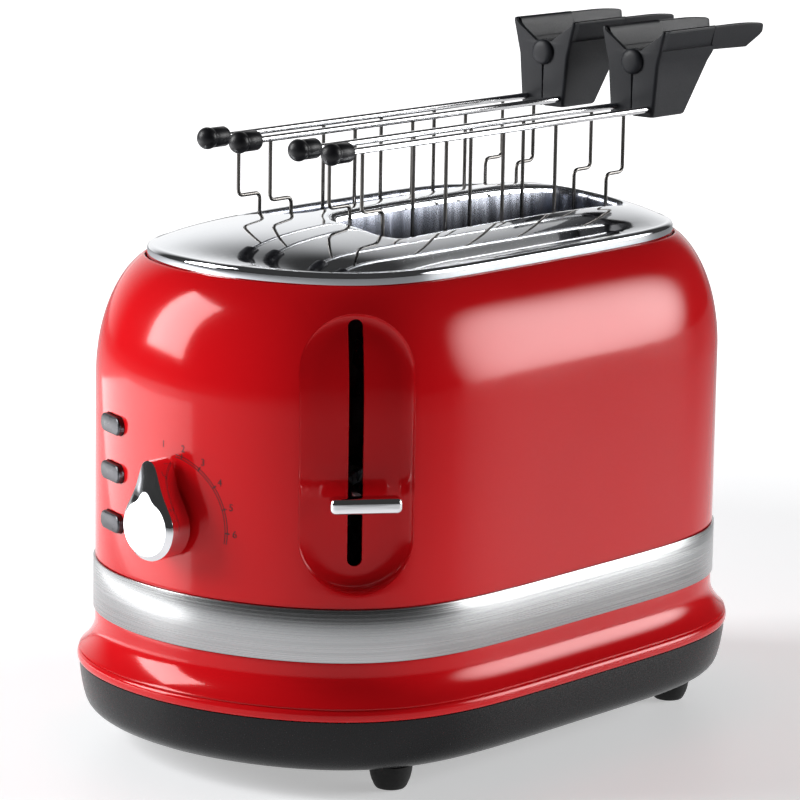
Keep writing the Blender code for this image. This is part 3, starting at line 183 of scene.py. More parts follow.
plastics = {  # darkest and palest colour, roughness, spark grain per metre, its depth
    "satinBlack": ((0.002, 0.002, 0.003), (0.004, 0.004, 0.005), 0.28, 900.0, 0.00001),
    "gripBlack": ((0.010, 0.011, 0.014), (0.014, 0.015, 0.019), 0.46, 1400.0, 0.00002),
    "capBlack": ((0.008, 0.008, 0.010), (0.014, 0.014, 0.017), 0.38, 1100.0, 0.00003),
    "footRubber": ((0.008, 0.008, 0.008), (0.013, 0.013, 0.013), 0.60, 700.0, 0.00004),
    "partBlack": ((0.020, 0.020, 0.022), (0.030, 0.030, 0.033), 0.45, 900.0, 0.00002),
    "boardGreen": ((0.012, 0.10, 0.045), (0.020, 0.16, 0.065), 0.38, 500.0, 0.00001),
    "printInk": ((0.030, 0.012, 0.014), (0.045, 0.016, 0.018), 0.40, 1500.0, 0.000002),
}
cellSheets = {  # darkest and palest colour, roughness, metallic, cells per metre
    "zincSheet": ((0.42, 0.43, 0.45), (0.62, 0.63, 0.65), 0.34, 1.0, 160.0),
    "micaCard": ((0.40, 0.31, 0.20), (0.60, 0.49, 0.35), 0.50, 0.0, 240.0),
}
finishes = {"redEnamel": enamelFinish()}
for makeFinish, table in ((metalFinish, metals), (plasticFinish, plastics), (cellFinish, cellSheets)):
    finishes.update({name: makeFinish(name, *values) for name, values in table.items()})
print("finishes:", len(finishes))

# surfaces

def ringQuads(rows, count, looped=False):
    # corners of the quads between neighbouring rings, as rows by spots by four
    row = np.arange(rows if looped else rows - 1)[:, None]
    spot = np.arange(count)[None, :]
    near, far, ahead = row * count, (row + 1) % rows * count, (spot + 1) % count
    return np.stack([near + spot, near + ahead, far + ahead, far + spot], axis=-1)


def loftForm(rings, looped=False, flatEnds=True):
    # quads between closed rings; the end rings are filled flat, or run in to their middles
    rings = np.asarray(rings, dtype=float)
    rows, count = rings.shape[:2]
    points = rings.reshape(-1, 3)
    faces = [ringQuads(rows, count, looped).reshape(-1, 4)]
    if looped:
        return points, faces
    first, last = np.arange(count), np.arange(count) + (rows - 1) * count
    if flatEnds:
        return points, faces + [first[None, ::-1], last[None, :]]
    poles = np.stack([rings[0].mean(axis=0), rings[-1].mean(axis=0)])
    fans = [np.stack([np.roll(first, -1), first, np.full(count, len(points))], axis=-1),
            np.stack([last, np.roll(last, -1), np.full(count, len(points) + 1)], axis=-1)]
    return np.vstack([points, poles]), faces + fans


def gather(forms):
    # several closed forms as one set of points and faces
    points, faces, start = [], [], 0
    for formPoints, formFaces in forms:
        points.append(formPoints)
        faces += [face + start for face in formFaces]
        start += len(formPoints)
    return np.vstack(points), faces


def makePiece(name, form, finish, sharpAngle=32.0):
    # a mesh object at the origin whose faces all point outwards
    points, faces = form
    mesh = bpy.data.meshes.new(name)
    corners = np.concatenate([face.ravel() for face in faces]).astype(np.int32)
    sizes = np.concatenate([np.full(len(face), face.shape[1]) for face in faces])
    mesh.vertices.add(len(points))
    mesh.vertices.foreach_set("co", np.asarray(points, dtype=np.float32).ravel())
    mesh.loops.add(len(corners))
    mesh.loops.foreach_set("vertex_index", corners)
    mesh.polygons.add(len(sizes))
    mesh.polygons.foreach_set("loop_start", np.concatenate([[0], np.cumsum(sizes)[:-1]]).astype(np.int32))
    mesh.update(calc_edges=True)
    mesh.validate()
    work = bmesh.new()
    work.from_mesh(mesh)
    bmesh.ops.recalc_face_normals(work, faces=work.faces)
    work.to_mesh(mesh)
    work.free()
    mesh.shade_smooth()
    mesh.set_sharp_from_angle(angle=math.radians(sharpAngle))
    mesh.materials.append(finishes[finish])
    piece = bpy.data.objects.new(name, mesh)
    bpy.context.scene.collection.objects.link(piece)
    return piece


def dress(piece, body, slot, *nodes):
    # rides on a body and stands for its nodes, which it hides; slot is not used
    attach(piece, body)
    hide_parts(*nodes)
    return piece


def faceCentres(piece):
    # the middles of a piece's faces, as rows of x, y and z
    centres = np.empty(len(piece.data.polygons) * 3)
    piece.data.polygons.foreach_get("center", centres)
    return centres.reshape(-1, 3).T


def paintFaces(piece, finish, chosen):
    # gives the chosen faces a second finish
    piece.data.materials.append(finishes[finish])
    piece.data.polygons.foreach_set("material_index", chosen.astype(np.int32))


def carve(piece, cutters, sharpAngle=32.0):
    # cuts closed forms out of a piece and keeps the result in its mesh
    tool = makePiece(piece.name + "Cutter", gather(cutters), "partBlack")
    modifier = piece.modifiers.new("carve", "BOOLEAN")
    modifier.operation, modifier.solver, modifier.object = "DIFFERENCE", "EXACT", tool
    graph = bpy.context.evaluated_depsgraph_get()
    carved = bpy.data.meshes.new_from_object(piece.evaluated_get(graph))
    piece.modifiers.clear()
    piece.data = carved
    carved.shade_smooth()
    carved.set_sharp_from_angle(angle=math.radians(sharpAngle))
    bpy.data.objects.remove(tool)


def roundPolygon(corners, radii, steps=4):
    # each corner becomes a parabola from its radius before it to its radius after it
    corners = np.asarray(corners, dtype=float)
    before = np.roll(corners, 1, axis=-2) - corners
    after = np.roll(corners, -1, axis=-2) - corners
    before /= np.linalg.norm(before, axis=-1, keepdims=True)
    after /= np.linalg.norm(after, axis=-1, keepdims=True)
    reach = np.asarray(radii, dtype=float)[:, None]
    start, end = corners + before * reach, corners + after * reach
    share = np.linspace(0, 1, steps + 1)[:, None, None]
    start, corners, end = start[..., None, :, :], corners[..., None, :, :], end[..., None, :, :]
    bends = (1 - share) ** 2 * start + 2 * share * (1 - share) * corners + share ** 2 * end
    bends = np.swapaxes(bends, -3, -2)
    return bends.reshape(*bends.shape[:-3], -1, 2)


def roundedOutline(halfX, halfY, corner, bendSteps=8, sideSteps=(8, 4)):
    # quarter circles at the four corners, with even steps along the sides between them
    quarter = np.linspace(0, math.pi / 2, bendSteps + 1)
    pieces = []
    for order, (signX, signY) in enumerate(((1, 1), (-1, 1), (-1, -1), (1, -1))):
        turn = quarter + order * math.pi / 2
        arc = np.stack([np.cos(turn), np.sin(turn)], axis=-1) * corner
        arc = arc + (signX * (halfX - corner), signY * (halfY - corner))
        nextX, nextY = ((-1, 1), (-1, -1), (1, -1), (1, 1))[order]
        following = np.array([nextX * (halfX - corner), nextY * (halfY - corner)])
        following = following + corner * np.array([np.cos(turn[-1]), np.sin(turn[-1])])
        steps = sideSteps[order % 2]
        share = (np.arange(1, steps) / steps)[:, None]
        pieces += [arc, arc[-1] + (following - arc[-1]) * share]
    return np.vstack(pieces)


def latheForm(profile, sides=48, axis=0, place=(0, 0, 0), looped=False):
    # radius and height pairs turned round X, Y or Z
    profile = np.asarray(profile, dtype=float)
    turn = np.arange(sides) * math.tau / sides
    radius, height = profile[:, :1], profile[:, 1:]
    parts = [np.broadcast_to(height, (len(profile), sides)), radius * np.cos(turn), radius * np.sin(turn)]
    rings = np.stack([parts[(spot - axis) % 3] for spot in range(3)], axis=-1) + place
    return loftForm(rings, looped, flatEnds=False)


def tubeForm(path, radius, across, sides=14):
    # circles square to a path that stays in the plane square to across
    path, across = np.asarray(path, dtype=float), np.asarray(across, dtype=float)
    along = np.gradient(path, axis=0)
    along /= np.linalg.norm(along, axis=1)[:, None]
    other = np.cross(along, across)
    turn = (np.arange(sides) * math.tau / sides)[None, :, None]
    rings = path[:, None] + radius * (np.cos(turn) * across + np.sin(turn) * other[:, None])
    return loftForm(rings, flatEnds=False)


def bentPath(spots, radius, steps=6):
    # a path of straight runs whose corners are circular-looking bends
    spots = np.asarray(spots, dtype=float)
    pieces = [spots[:1]]
    for before, corner, after in zip(spots[:-2], spots[1:-1], spots[2:]):
        start = corner + (before - corner) / np.linalg.norm(before - corner) * radius
        end = corner + (after - corner) / np.linalg.norm(after - corner) * radius
        share = np.linspace(0, 1, steps + 1)[:, None]
        pieces.append((1 - share) ** 2 * start + 2 * share * (1 - share) * corner + share ** 2 * end)
    return np.vstack(pieces + [spots[-1:]])


# the wall, whose plan every ring of the body follows

wall = {"halfLength": 144.9 * mm, "halfWidth": 91.7 * mm, "endPower": 4.7, "sidePower": 1.83,
        "shoulderZ": 152.7 * mm, "shoulderRise": 53.1 * mm, "shoulderReach": 30.2 * mm}


def wallCurve(turn):
    # half length times cosine to 2/4.7 and half width times sine to 2/1.83; the normal is the gradient
    run, rise = np.cos(turn), np.sin(turn)
    alongX = np.sign(run) * np.abs(run) ** (2 / wall["endPower"])
    alongY = np.sign(rise) * np.abs(rise) ** (2 / wall["sidePower"])
    endPower, sidePower = wall["endPower"], wall["sidePower"]
    slopeX = endPower / wall["halfLength"] * np.sign(alongX) * np.abs(alongX) ** (endPower - 1)
    slopeY = sidePower / wall["halfWidth"] * np.sign(alongY) * np.abs(alongY) ** (sidePower - 1)
    spots = np.stack([wall["halfLength"] * alongX, wall["halfWidth"] * alongY], axis=-1)
    facing = np.stack([slopeX, slopeY], axis=-1)
    return spots, facing / np.linalg.norm(facing, axis=-1, keepdims=True)


def fineTurns(count=3000):
    # turns round the plan, crowded towards the four quarter points where the powers run away
    share = np.arange(count) / count
    eased = share ** 3 / (share ** 3 + (1 - share) ** 3)
    return (eased[None, :] + np.arange(4)[:, None]).ravel() * math.pi / 2


def wallStations(gap):
    # turns whose spacing round the wall follows gap, in metres at each fine point
    turn = fineTurns()
    spots = wallCurve(np.append(turn, math.tau))[0]
    step = np.linalg.norm(np.diff(spots, axis=0), axis=1)
    share = np.concatenate([[0], np.cumsum(step / gap(spots[:-1]))])
    count = int(round(share[-1] / 4)) * 4
    return np.interp(np.arange(count) / count * share[-1], share, np.append(turn, math.tau))


def wallRings(turns, profile):
    # the plan at each inset and height of a profile
    profile = np.asarray(profile, dtype=float)
    spots, facing = wallCurve(turns)
    flat = spots[None] - facing[None] * profile[:, 0, None, None]
    height = np.broadcast_to(profile[:, 1, None, None], flat.shape[:2] + (1,))
    return np.concatenate([flat + (bodyX, 0), height], axis=-1)


def facingTurn(angle):
    # the turn where the wall faces this way
    turn = fineTurns(12000)
    return turn[np.argmax(wallCurve(turn)[1] @ (math.cos(angle), math.sin(angle)))]


evenTurns = wallStations(lambda spots: np.full(len(spots), 2.2 * mm))

# body shell with the lever recess

recess = {"spotAngle": math.radians(-133.3), "angle": math.radians(-130), "lowZ": 83.3 * mm,
          "highZ": 192.5 * mm, "halfWidth": 22.4 * mm, "floorHalf": 16.0 * mm, "depth": 6.5 * mm,
          "lean": 0.75, "slotHalf": 3.0 * mm, "slotLowZ": 93.2 * mm, "slotHighZ": 190.3 * mm,
          "edgeSoftness": 0.25, "steepest": 0.985, "riseBeyond": 5.7, "turnsAround": (-0.9, 0.6),
          "halvings": 34,
          "rimGrows": (0.45, 0.28, 0.14, 0.03, -0.08, -0.22, -0.42, -0.70, -1.10, -1.6),
          "floorShares": (0.10, 0.22, 0.36, 0.52, 0.68, 0.84, 1.0)}
recessSpot = wallCurve(facingTurn(recess["spotAngle"]))[0]
recessOut = np.array([math.cos(recess["angle"]), math.sin(recess["angle"])])
recessSide = np.array([-recessOut[1], recessOut[0]])


def inRecess(points):
    # across, out and up of points that stand in the frame
    flat = points[..., :2] - (bodyX, 0) - recessSpot
    return flat @ recessSide, flat @ recessOut, points[..., 2]


def fromRecess(out, across, height):
    # the way back: the recess's spot, plus out and across along its two directions
    out, across, height = np.broadcast_arrays(out, across, height)
    flat = recessSpot + out[..., None] * recessOut + across[..., None] * recessSide + (bodyX, 0)
    return np.concatenate([flat, height[..., None]], axis=-1)


def shoulderInset(height):
    # a quarter ellipse: the reach times one less the root of one less the rise squared
    rise = np.clip((height - wall["shoulderZ"]) / wall["shoulderRise"], 0, 1)
    return wall["shoulderReach"] * (1 - np.sqrt(1 - rise ** 2))


def wallOut(across, height, levels):
    # how far out the wall lies at one distance across: the turn is halved down to it
    inset = np.interp(height, levels[:, 1], levels[:, 0])[..., None]
    middleTurn = facingTurn(recess["angle"])
    low, high = (np.full(across.shape, middleTurn + around) for around in recess["turnsAround"])
    for _ in range(recess["halvings"]):
        middle = (low + high) / 2
        spots, facing = wallCurve(middle)
        past = (spots - facing * inset - recessSpot) @ recessSide > across
        low, high = np.where(past, low, middle), np.where(past, middle, high)
    spots, facing = wallCurve((low + high) / 2)
    return (spots - facing * inset - recessSpot) @ recessOut


def recessCentres():
    # heights of the middles of the recess's round ends
    return recess["lowZ"] + recess["halfWidth"], recess["highZ"] - recess["halfWidth"]


def pocketOut(across, height, levels, thickness):
    # a quarter ellipse from the leaning floor up to the wall, its rim softened
    steepest, softness = recess["steepest"], recess["edgeSoftness"]
    reach = np.hypot(across, height - np.clip(height, *recessCentres()))
    share = (reach - recess["floorHalf"] - thickness) / (recess["halfWidth"] - recess["floorHalf"])
    inner = np.clip(share, 0, steepest)
    rise = 1 - np.sqrt(1 - inner ** 2) + np.maximum(share - steepest, 0) * recess["riseBeyond"]
    soft = np.maximum(softness - np.abs(rise - 1), 0) ** 2 / 4 / softness
    rise = np.minimum(rise, 1) - soft
    floor = -recess["depth"] - thickness - recess["lean"] * shoulderInset(height)
    outside = wallOut(across, height, levels)
    return floor + (outside - floor) * rise


def recessPatch(loop, levels, thickness):
    # rings from a loop on the wall, over the rim and down to the lever slot
    across, _, height = inRecess(loop)
    spine = np.clip(height, *recessCentres())
    radial = np.stack([across, height - spine], axis=-1)
    radial /= np.linalg.norm(radial, axis=-1, keepdims=True)
    edge = np.stack([across, height], axis=-1)
    centre = np.stack([np.zeros_like(spine), spine], axis=-1)
    slotHalf = recess["slotHalf"]
    slotZ = np.interp(spine, recessCentres(), (recess["slotLowZ"] + slotHalf, recess["slotHighZ"] - slotHalf))
    slot = radial * slotHalf + np.stack([np.zeros_like(slotZ), slotZ], axis=-1)
    grows = np.array(recess["rimGrows"]) * mm + thickness
    rims = centre + radial * (recess["halfWidth"] + grows)[:, None, None]
    shares = np.array(recess["floorShares"])[:, None, None]
    floors = rims[-1] + (slot - rims[-1]) * shares
    rings = np.concatenate([(edge + rims[0])[None] / 2, rims, floors])
    out = pocketOut(rings[..., 0], rings[..., 1], levels, thickness)
    out[0] = wallOut(rings[0, :, 0], rings[0, :, 1], levels)
    return fromRecess(out, rings[..., 0], rings[..., 1])


shell = {"sheet": 1.5, "low": 80.0, "uprightRows": 59, "patchTop": 197.0, "patchRows": 42, "crest": 18.5,
         "crestRows": 8, "openRows": 7, "innerEdge": ((2.0, 72.0), (2.0, 66.55)),
         "foot": ((0.5, 66.55), (0.5, 72.0), (0.5, 77.5), (0.14, 77.5), (0.03, 77.56), (0.0, 77.7),
                  (0.0, 78.8)),
         "lip": ((18.85, 0.17), (19.2, 0.28), (19.55, 0.16), (19.8, -0.3), (19.92, -0.9)),
         "seat": ((20.15, 198.3), (20.3, 197.95), (20.8, 197.8), (25.3, 197.8), (25.4, 197.7),
                  (25.4, 196.4), (25.3, 196.3)),
         "fineStep": 1.25, "moreStep": 2.15, "fineHalf": 27.0, "easeWidth": 14.0, "patchHalf": 28.0,
         "behind": -60.0, "shaftHole": 4.2}


def shellGap(spots):
    # close steps beside the recess, wide ones elsewhere
    across, out = (spots - recessSpot) @ recessSide, (spots - recessSpot) @ recessOut
    near = np.clip((np.abs(across) - shell["fineHalf"] * mm) / (shell["easeWidth"] * mm), 0, 1)
    near = np.where(out > shell["behind"] * mm, near, 1)
    return (shell["fineStep"] + shell["moreStep"] * near) * mm


def shellProfile():
    # foot, upright rows and quarter ellipse outside, then the lip, the seat and the same rows inside
    upright = np.column_stack([np.zeros(shell["uprightRows"]),
                               np.linspace(shell["low"] * mm, wall["shoulderZ"], shell["uprightRows"])])
    patchTop = math.asin((shell["patchTop"] * mm - wall["shoulderZ"]) / wall["shoulderRise"])
    crest = math.acos(1 - shell["crest"] * mm / wall["shoulderReach"])
    bends = np.concatenate([np.linspace(0, patchTop, shell["patchRows"])[1:],
                            np.linspace(patchTop, crest, shell["crestRows"])[1:]])
    curve = np.column_stack([wall["shoulderReach"] * (1 - np.cos(bends)),
                             wall["shoulderZ"] + wall["shoulderRise"] * np.sin(bends)])
    foot = np.array(shell["foot"]) * mm
    levels = np.vstack([upright, curve])
    lean = np.concatenate([np.zeros(len(upright)), bends])
    outer = np.vstack([foot, levels])
    crestZ = curve[-1, 1] / mm
    lip = np.array([(inset, crestZ + rise) for inset, rise in shell["lip"]] + list(shell["seat"])) * mm
    kept = len(levels) - shell["openRows"]
    sheet = shell["sheet"] * mm
    inside = np.column_stack([levels[:kept, 0] + sheet * np.cos(lean[:kept]),
                              levels[:kept, 1] - sheet * np.sin(lean[:kept])])
    profile = np.vstack([outer, lip, inside[::-1], np.array(shell["innerEdge"]) * mm])
    topRow = len(upright) + shell["patchRows"] - 2
    outerRow = len(foot) + np.arange(topRow + 1)
    innerRow = len(outer) + len(lip) + kept - 1 - np.arange(topRow + 1)
    return profile, levels, inside, outerRow, innerRow


def buildShell():
    # one closed sheet, with the recess patched into its outer and inner faces
    profile, levels, inside, outerRow, innerRow = shellProfile()
    turns = wallStations(shellGap)
    count = len(turns)
    rings = wallRings(turns, profile)
    quads = ringQuads(len(rings), count, looped=True)
    across, out, _ = inRecess(rings[outerRow[0]])
    columns = np.flatnonzero((np.abs(across) < shell["patchHalf"] * mm) & (out > shell["behind"] * mm))
    firstColumn, lastColumn, topRow = columns[0], columns[-1], len(outerRow) - 1
    keep = np.ones(quads.shape[:2], dtype=bool)
    keep[outerRow[0]:outerRow[-1], firstColumn:lastColumn] = False
    keep[innerRow[-1]:innerRow[0], firstColumn:lastColumn] = False
    wide, tall = np.arange(firstColumn, lastColumn + 1), np.arange(topRow + 1)
    # the loop round the patch: along its foot, up, back along its top, and down
    loopColumn = np.concatenate([wide[:-1], np.full(topRow, lastColumn),
                                 wide[:0:-1], np.full(topRow, firstColumn)])
    loopRow = np.concatenate([np.zeros(len(wide) - 1, int), tall[:-1],
                              np.full(len(wide) - 1, topRow), tall[:0:-1]])
    points = rings.reshape(-1, 3)
    outerLoop, innerLoop = outerRow[loopRow] * count + loopColumn, innerRow[loopRow] * count + loopColumn
    outside = recessPatch(points[outerLoop], levels, 0)
    within = recessPatch(points[innerLoop], inside, shell["sheet"] * mm)
    patch = np.concatenate([outside, within[::-1]])
    number = len(points) + np.arange(len(patch) * len(outerLoop)).reshape(len(patch), -1)
    stack = np.vstack([outerLoop[None], number, innerLoop[None]])
    turned = np.roll(stack, -1, axis=1)
    patchQuads = np.stack([stack[:-1], turned[:-1], turned[1:], stack[1:]], axis=-1).reshape(-1, 4)
    form = np.vstack([points, patch.reshape(-1, 3)]), [quads[keep], patchQuads]
    piece = makePiece("bodyShell", form, "redEnamel")
    cutters = [buttonForm(button, 0.0, buttons["holeStages"]) for button in range(3)]
    shaft = np.array([(shell["shaftHole"], -12.0), (shell["shaftHole"], 4.0)]) * mm
    cutters.append(latheForm(shaft, 32, 0, tuple(dialPlace)))
    carve(piece, cutters)
    dress(piece, "toaster", "red_enamel", "body_shell")
    print("shell:", len(piece.data.polygons), "faces")


# buttons and dial

buttons = {"angle": math.radians(158), "heights": (138.0, 118.5, 98.0), "width": 18.0, "height": 8.0,
           "corner": 3.4, "bodies": ("top_button", "middle_button", "bottom_button"), "clearance": 0.3,
           "holeStages": ((-12.0, 0.0), (6.0, 0.0)),
           "stages": ((-9.0, 2.5), (-4.4, 2.5), (-4.4, -1.0), (-2.9, -1.0), (-2.9, 0), (1.2, 0),
                      (1.55, 0.05), (1.85, 0.2), (2.05, 0.45), (2.15, 0.8))}
buttonSpot = wallCurve(facingTurn(buttons["angle"]))[0]
buttonOut = np.array([math.cos(buttons["angle"]), math.sin(buttons["angle"])])
buttonSide = np.array([-buttonOut[1], buttonOut[0]])
dial = {"y": 4.0, "z": 104.8, "radius": 13.4, "tipReach": 22.9, "tipRadius": 4.0, "stand": 2.5,
        "depth": 10.0, "faceRise": 2.0, "faceRadius": 11.3, "faceTipReach": 12.6, "faceTipRadius": 2.2,
        "faceMiddle": 2.0, "waist": 0.75, "bodySteps": 72, "tipSteps": 20, "sideSteps": 16}
dialAside = (dial["y"] * mm / wall["halfWidth"]) ** wall["sidePower"]
dialWallX = -wall["halfLength"] * (1 - dialAside) ** (1 / wall["endPower"])
dialPlace = np.array([dialWallX + bodyX, dial["y"] * mm, dial["z"] * mm])


def buttonForm(number, shrink, stages):
    # rounded rectangles square to the wall at (out, inset) stages
    rings = []
    for out, inset in stages:
        less = shrink + inset
        outline = roundedOutline((buttons["width"] / 2 - less) * mm, (buttons["height"] / 2 - less) * mm,
                                 (buttons["corner"] - less * 0.6) * mm, 7, (10, 4))
        flat = buttonSpot + buttonSide * outline[:, :1] + buttonOut * out * mm + (bodyX, 0)
        rings.append(np.column_stack([flat, outline[:, 1] + buttons["heights"][number] * mm]))
    return loftForm(rings, flatEnds=False)


def buildButtons():
    # one cap for each button, smaller than its hole by the clearance
    for number, body in enumerate(buttons["bodies"]):
        form = buttonForm(number, buttons["clearance"], buttons["stages"])
        piece = makePiece(f"pushButton{number + 1}", form, "buttonChrome")
        dress(piece, body, "chromed_plastic", f"button_{number + 1}")


def teardrop(share, inset):
    # a big circle and a small one above it, joined by their common tangents drawn in a little;
    # share runs from the outline of the knob to that of its face
    pairs = ("radius", "faceRadius"), ("tipReach", "faceTipReach"), ("tipRadius", "faceTipRadius")
    radius, reach, tip = (dial[outer] + (dial[inner] - dial[outer]) * share for outer, inner in pairs)
    lean = math.acos((radius - tip) / reach)
    big = np.linspace(math.pi / 2 + lean, math.tau + math.pi / 2 - lean, dial["bodySteps"])
    small = np.linspace(math.pi / 2 - lean, math.pi / 2 + lean, dial["tipSteps"])
    lower = (radius - inset) * np.stack([np.cos(big), np.sin(big)], axis=-1)
    upper = (tip - inset) * np.stack([np.cos(small), np.sin(small)], axis=-1) + (0, reach)
    along = (np.arange(1, dial["sideSteps"]) / dial["sideSteps"])[:, None]
    waist = np.array([dial["waist"], 0]) * np.sin(math.pi * along) ** 2
    right = lower[-1] + (upper[0] - lower[-1]) * along - waist
    left = upper[-1] + (lower[0] - upper[-1]) * along + waist
    return np.vstack([lower, right, upper, left])


def buildDial():
    # the knob's outline at each distance from the wall, its rim rounded, its face raised on a bevel
    foot, front, rise = dial["stand"], dial["stand"] + dial["depth"], dial["faceRise"]
    stages = [(foot, 0, 1.2), (foot, 0, 0.3), (foot + 0.3, 0, 0.0), (front - 0.25, 0, 0.0), (front, 0, 0.05),
              (front + 0.15, 0, 0.2), (front + rise * 0.55, 0.5, 0.1), (front + rise - 0.2, 0.93, 0.0),
              (front + rise - 0.04, 1, 0.0), (front + rise, 1, 0.35)]
    rings = []
    for out, share, inset in stages:
        outline = teardrop(share, inset)
        rings.append(np.column_stack([np.full(len(outline), -out), outline]) * mm)
    middle = np.array([-(front + rise), 0, dial["faceMiddle"]]) * mm
    rings += [middle + (rings[-1] - middle) * share for share in (0.6, 0.2)]
    knob = makePiece("dialKnob", loftForm(np.array(rings) + dialPlace, flatEnds=False), "chromedPlastic", 24)
    dress(knob, "dial", "chromed_plastic", "dial_knob")
    print("dial knob:", len(knob.data.polygons), "faces")


# printed scale round the dial

scale = {"radii": (27.2, 28.2), "line": 0.30, "from": 6.0, "to": 100.0, "thickness": 0.05, "figures": 6,
         "figureSize": 4.0, "figureReach": 31.4, "tickReach": 29.2, "firstMark": -7.0, "lastMark": 91.0,
         "arcSteps": 90, "tickSteps": 4, "tickShare": 0.8}


def onEndWall(across, height):
    # stands flat points on the end wall, a hair proud of it
    y, z = np.asarray(across) + dial["y"] * mm, np.asarray(height) + dial["z"] * mm
    aside = np.abs(y / wall["halfWidth"]) ** wall["sidePower"]
    x = -wall["halfLength"] * (1 - aside) ** (1 / wall["endPower"])
    return np.stack([x + bodyX, y, z], axis=-1)


def inkStrip(across, height, half):
    # a flat strip with a rectangular section that follows a line on the wall
    path = np.stack([across, height], axis=-1)
    along = np.gradient(path, axis=0)
    along /= np.linalg.norm(along, axis=1)[:, None]
    side = np.stack([-along[:, 1], along[:, 0]], axis=-1) * half
    left, right = onEndWall(*(path + side).T), onEndWall(*(path - side).T)
    lift = np.array([-scale["thickness"] * mm, 0, 0])
    return loftForm(np.stack([left + lift, right + lift, right - lift, left - lift], axis=1))


def figureForm(number, mark):
    # a plain figure stood on the wall outside the arcs
    text = bpy.data.curves.new("figure", "FONT")
    text.body, text.align_x, text.align_y = str(number), "CENTER", "CENTER"
    text.size, text.extrude = scale["figureSize"] * mm, scale["thickness"] * mm
    figure = bpy.data.objects.new("figure", text)
    mesh = bpy.data.meshes.new_from_object(figure)
    corners = np.empty(len(mesh.vertices) * 3)
    mesh.vertices.foreach_get("co", corners)
    corners = corners.reshape(-1, 3)
    across = -scale["figureReach"] * mm * math.sin(mark) - corners[:, 0]
    height = scale["figureReach"] * mm * math.cos(mark) + corners[:, 1]
    spots = onEndWall(across, height) - np.column_stack([corners[:, 2], np.zeros((len(corners), 2))])
    faces = {}
    for face in mesh.polygons:
        faces.setdefault(len(face.vertices), []).append(tuple(face.vertices))
    bpy.data.objects.remove(figure)
    return spots, [np.array(group) for group in faces.values()]


def buildScale():
    # two arcs, a tick at each mark but the first, and the figures
    forms, half = [], scale["line"] / 2 * mm
    for radius in scale["radii"]:
        sweep = np.radians(np.linspace(scale["from"], scale["to"], scale["arcSteps"]))
        forms.append(inkStrip(-radius * mm * np.sin(sweep), radius * mm * np.cos(sweep), half))
    marks = np.radians(np.linspace(scale["firstMark"], scale["lastMark"], scale["figures"]))
    reach = np.linspace(scale["radii"][0], scale["tickReach"], scale["tickSteps"]) * mm
    half = scale["line"] * scale["tickShare"] * mm
    for mark in marks[1:]:
        forms.append(inkStrip(-reach * math.sin(mark), reach * math.cos(mark), half))
    forms += [figureForm(number, mark) for number, mark in enumerate(marks, 1)]
    ink = makePiece("printedScale", gather(forms), "printInk")
    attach(ink, "toaster")
    print("scale:", len(ink.data.polygons), "faces")


# steel band, skirt, pan and feet

band = {"low": 55.9, "middle": 66.5, "high": 77.2, "proud": 0.8, "tuck": 0.2, "edge": 0.2}


def buildBand():
    # a flat strip proud of the wall, its two edges eased
    low, high, out, edge = band["low"], band["high"], -band["proud"], band["edge"]
    profile = np.array([(band["tuck"], low), (band["tuck"], high), (out + edge, high),
                        (out + edge * 0.4, high - edge * 0.2), (out, high - edge), (out, band["middle"]),
                        (out, low + edge), (out + edge * 0.4, low + edge * 0.2), (out + edge, low)]) * mm
    strip = makePiece("steelBand", loftForm(wallRings(evenTurns, profile), looped=True), "brushedSteel")
    dress(strip, "toaster", "brushed_steel", "trim_band")


skirt = {"flareReach": 6.5, "flarePower": 2.1, "flareHigh": 51.2, "flareDrop": 12.2,
         "beadMiddle": (-6.2, 35.8), "beadHalf": (1.1, 2.3), "wall": 2.2,
         "top": ((0.5, 66.2), (0.5, 55.6), (0.12, 55.6), (0.03, 55.55), (0.0, 55.4), (0.0, 53.3)),
         "groove": ((-6.55, 38.9), (-6.1, 38.72), (-5.8, 38.6), (-5.8, 38.2), (-6.0, 38.1)),
         "inside": ((-5.1, 33.5), (-5.1, 37.9)), "topInside": ((2.2, 66.2),)}


def buildSkirt():
    # upright under the band, a power curve out to the groove, and a half-round bead at the foot
    share = np.linspace(0, 1, 17)
    flare = np.column_stack([-skirt["flareReach"] * share ** skirt["flarePower"],
                             skirt["flareHigh"] - skirt["flareDrop"] * share])
    bend = np.linspace(math.pi / 2, -math.pi / 2, 15)
    bead = np.array(skirt["beadMiddle"]) + np.column_stack([-np.cos(bend), np.sin(bend)]) * skirt["beadHalf"]
    profile = np.vstack([skirt["top"], flare, skirt["groove"], bead, skirt["inside"],
                         (flare + (skirt["wall"], 0))[::-1], skirt["topInside"]]) * mm
    ring = makePiece("skirtRing", loftForm(wallRings(evenTurns, profile), looped=True), "redEnamel", 40)
    dress(ring, "toaster", "red_enamel", "skirt_ring")


pan = {"top": 33.2, "bottom": 10.2, "reach": 6.4, "wall": 2.4, "tuck": 11.0, "underTop": 3.0,
       "shares": ((1.0, 1.0), (0.985, 0.9), (0.93, 0.77), (0.84, 0.61), (0.73, 0.47), (0.61, 0.355),
                  (0.47, 0.27), (0.28, 0.2), (0.07, 0.145), (-0.22, 0.09), (-0.60, 0.045), (-1.1, 0.012)),
       "ledge": ((-4.8, 33.2), (-4.8, 37.7), (-3.2, 37.7), (-3.2, 30.8)),
       "bosses": ((-124.7, -14.0), (-124.7, 14.0)), "boss": ((4.0, 12.0), (4.0, 18.6)),
       "openingHalf": 45.3, "openingLow": 12.6, "openingHigh": 23.3, "openingFrom": 72.0,
       "openingTo": 170.0, "openingCorner": 0.4, "bushX": -45.0, "bushZ": 22.5, "bushHole": 5.9,
       "bushFrom": 80.0, "bushTo": 110.0}


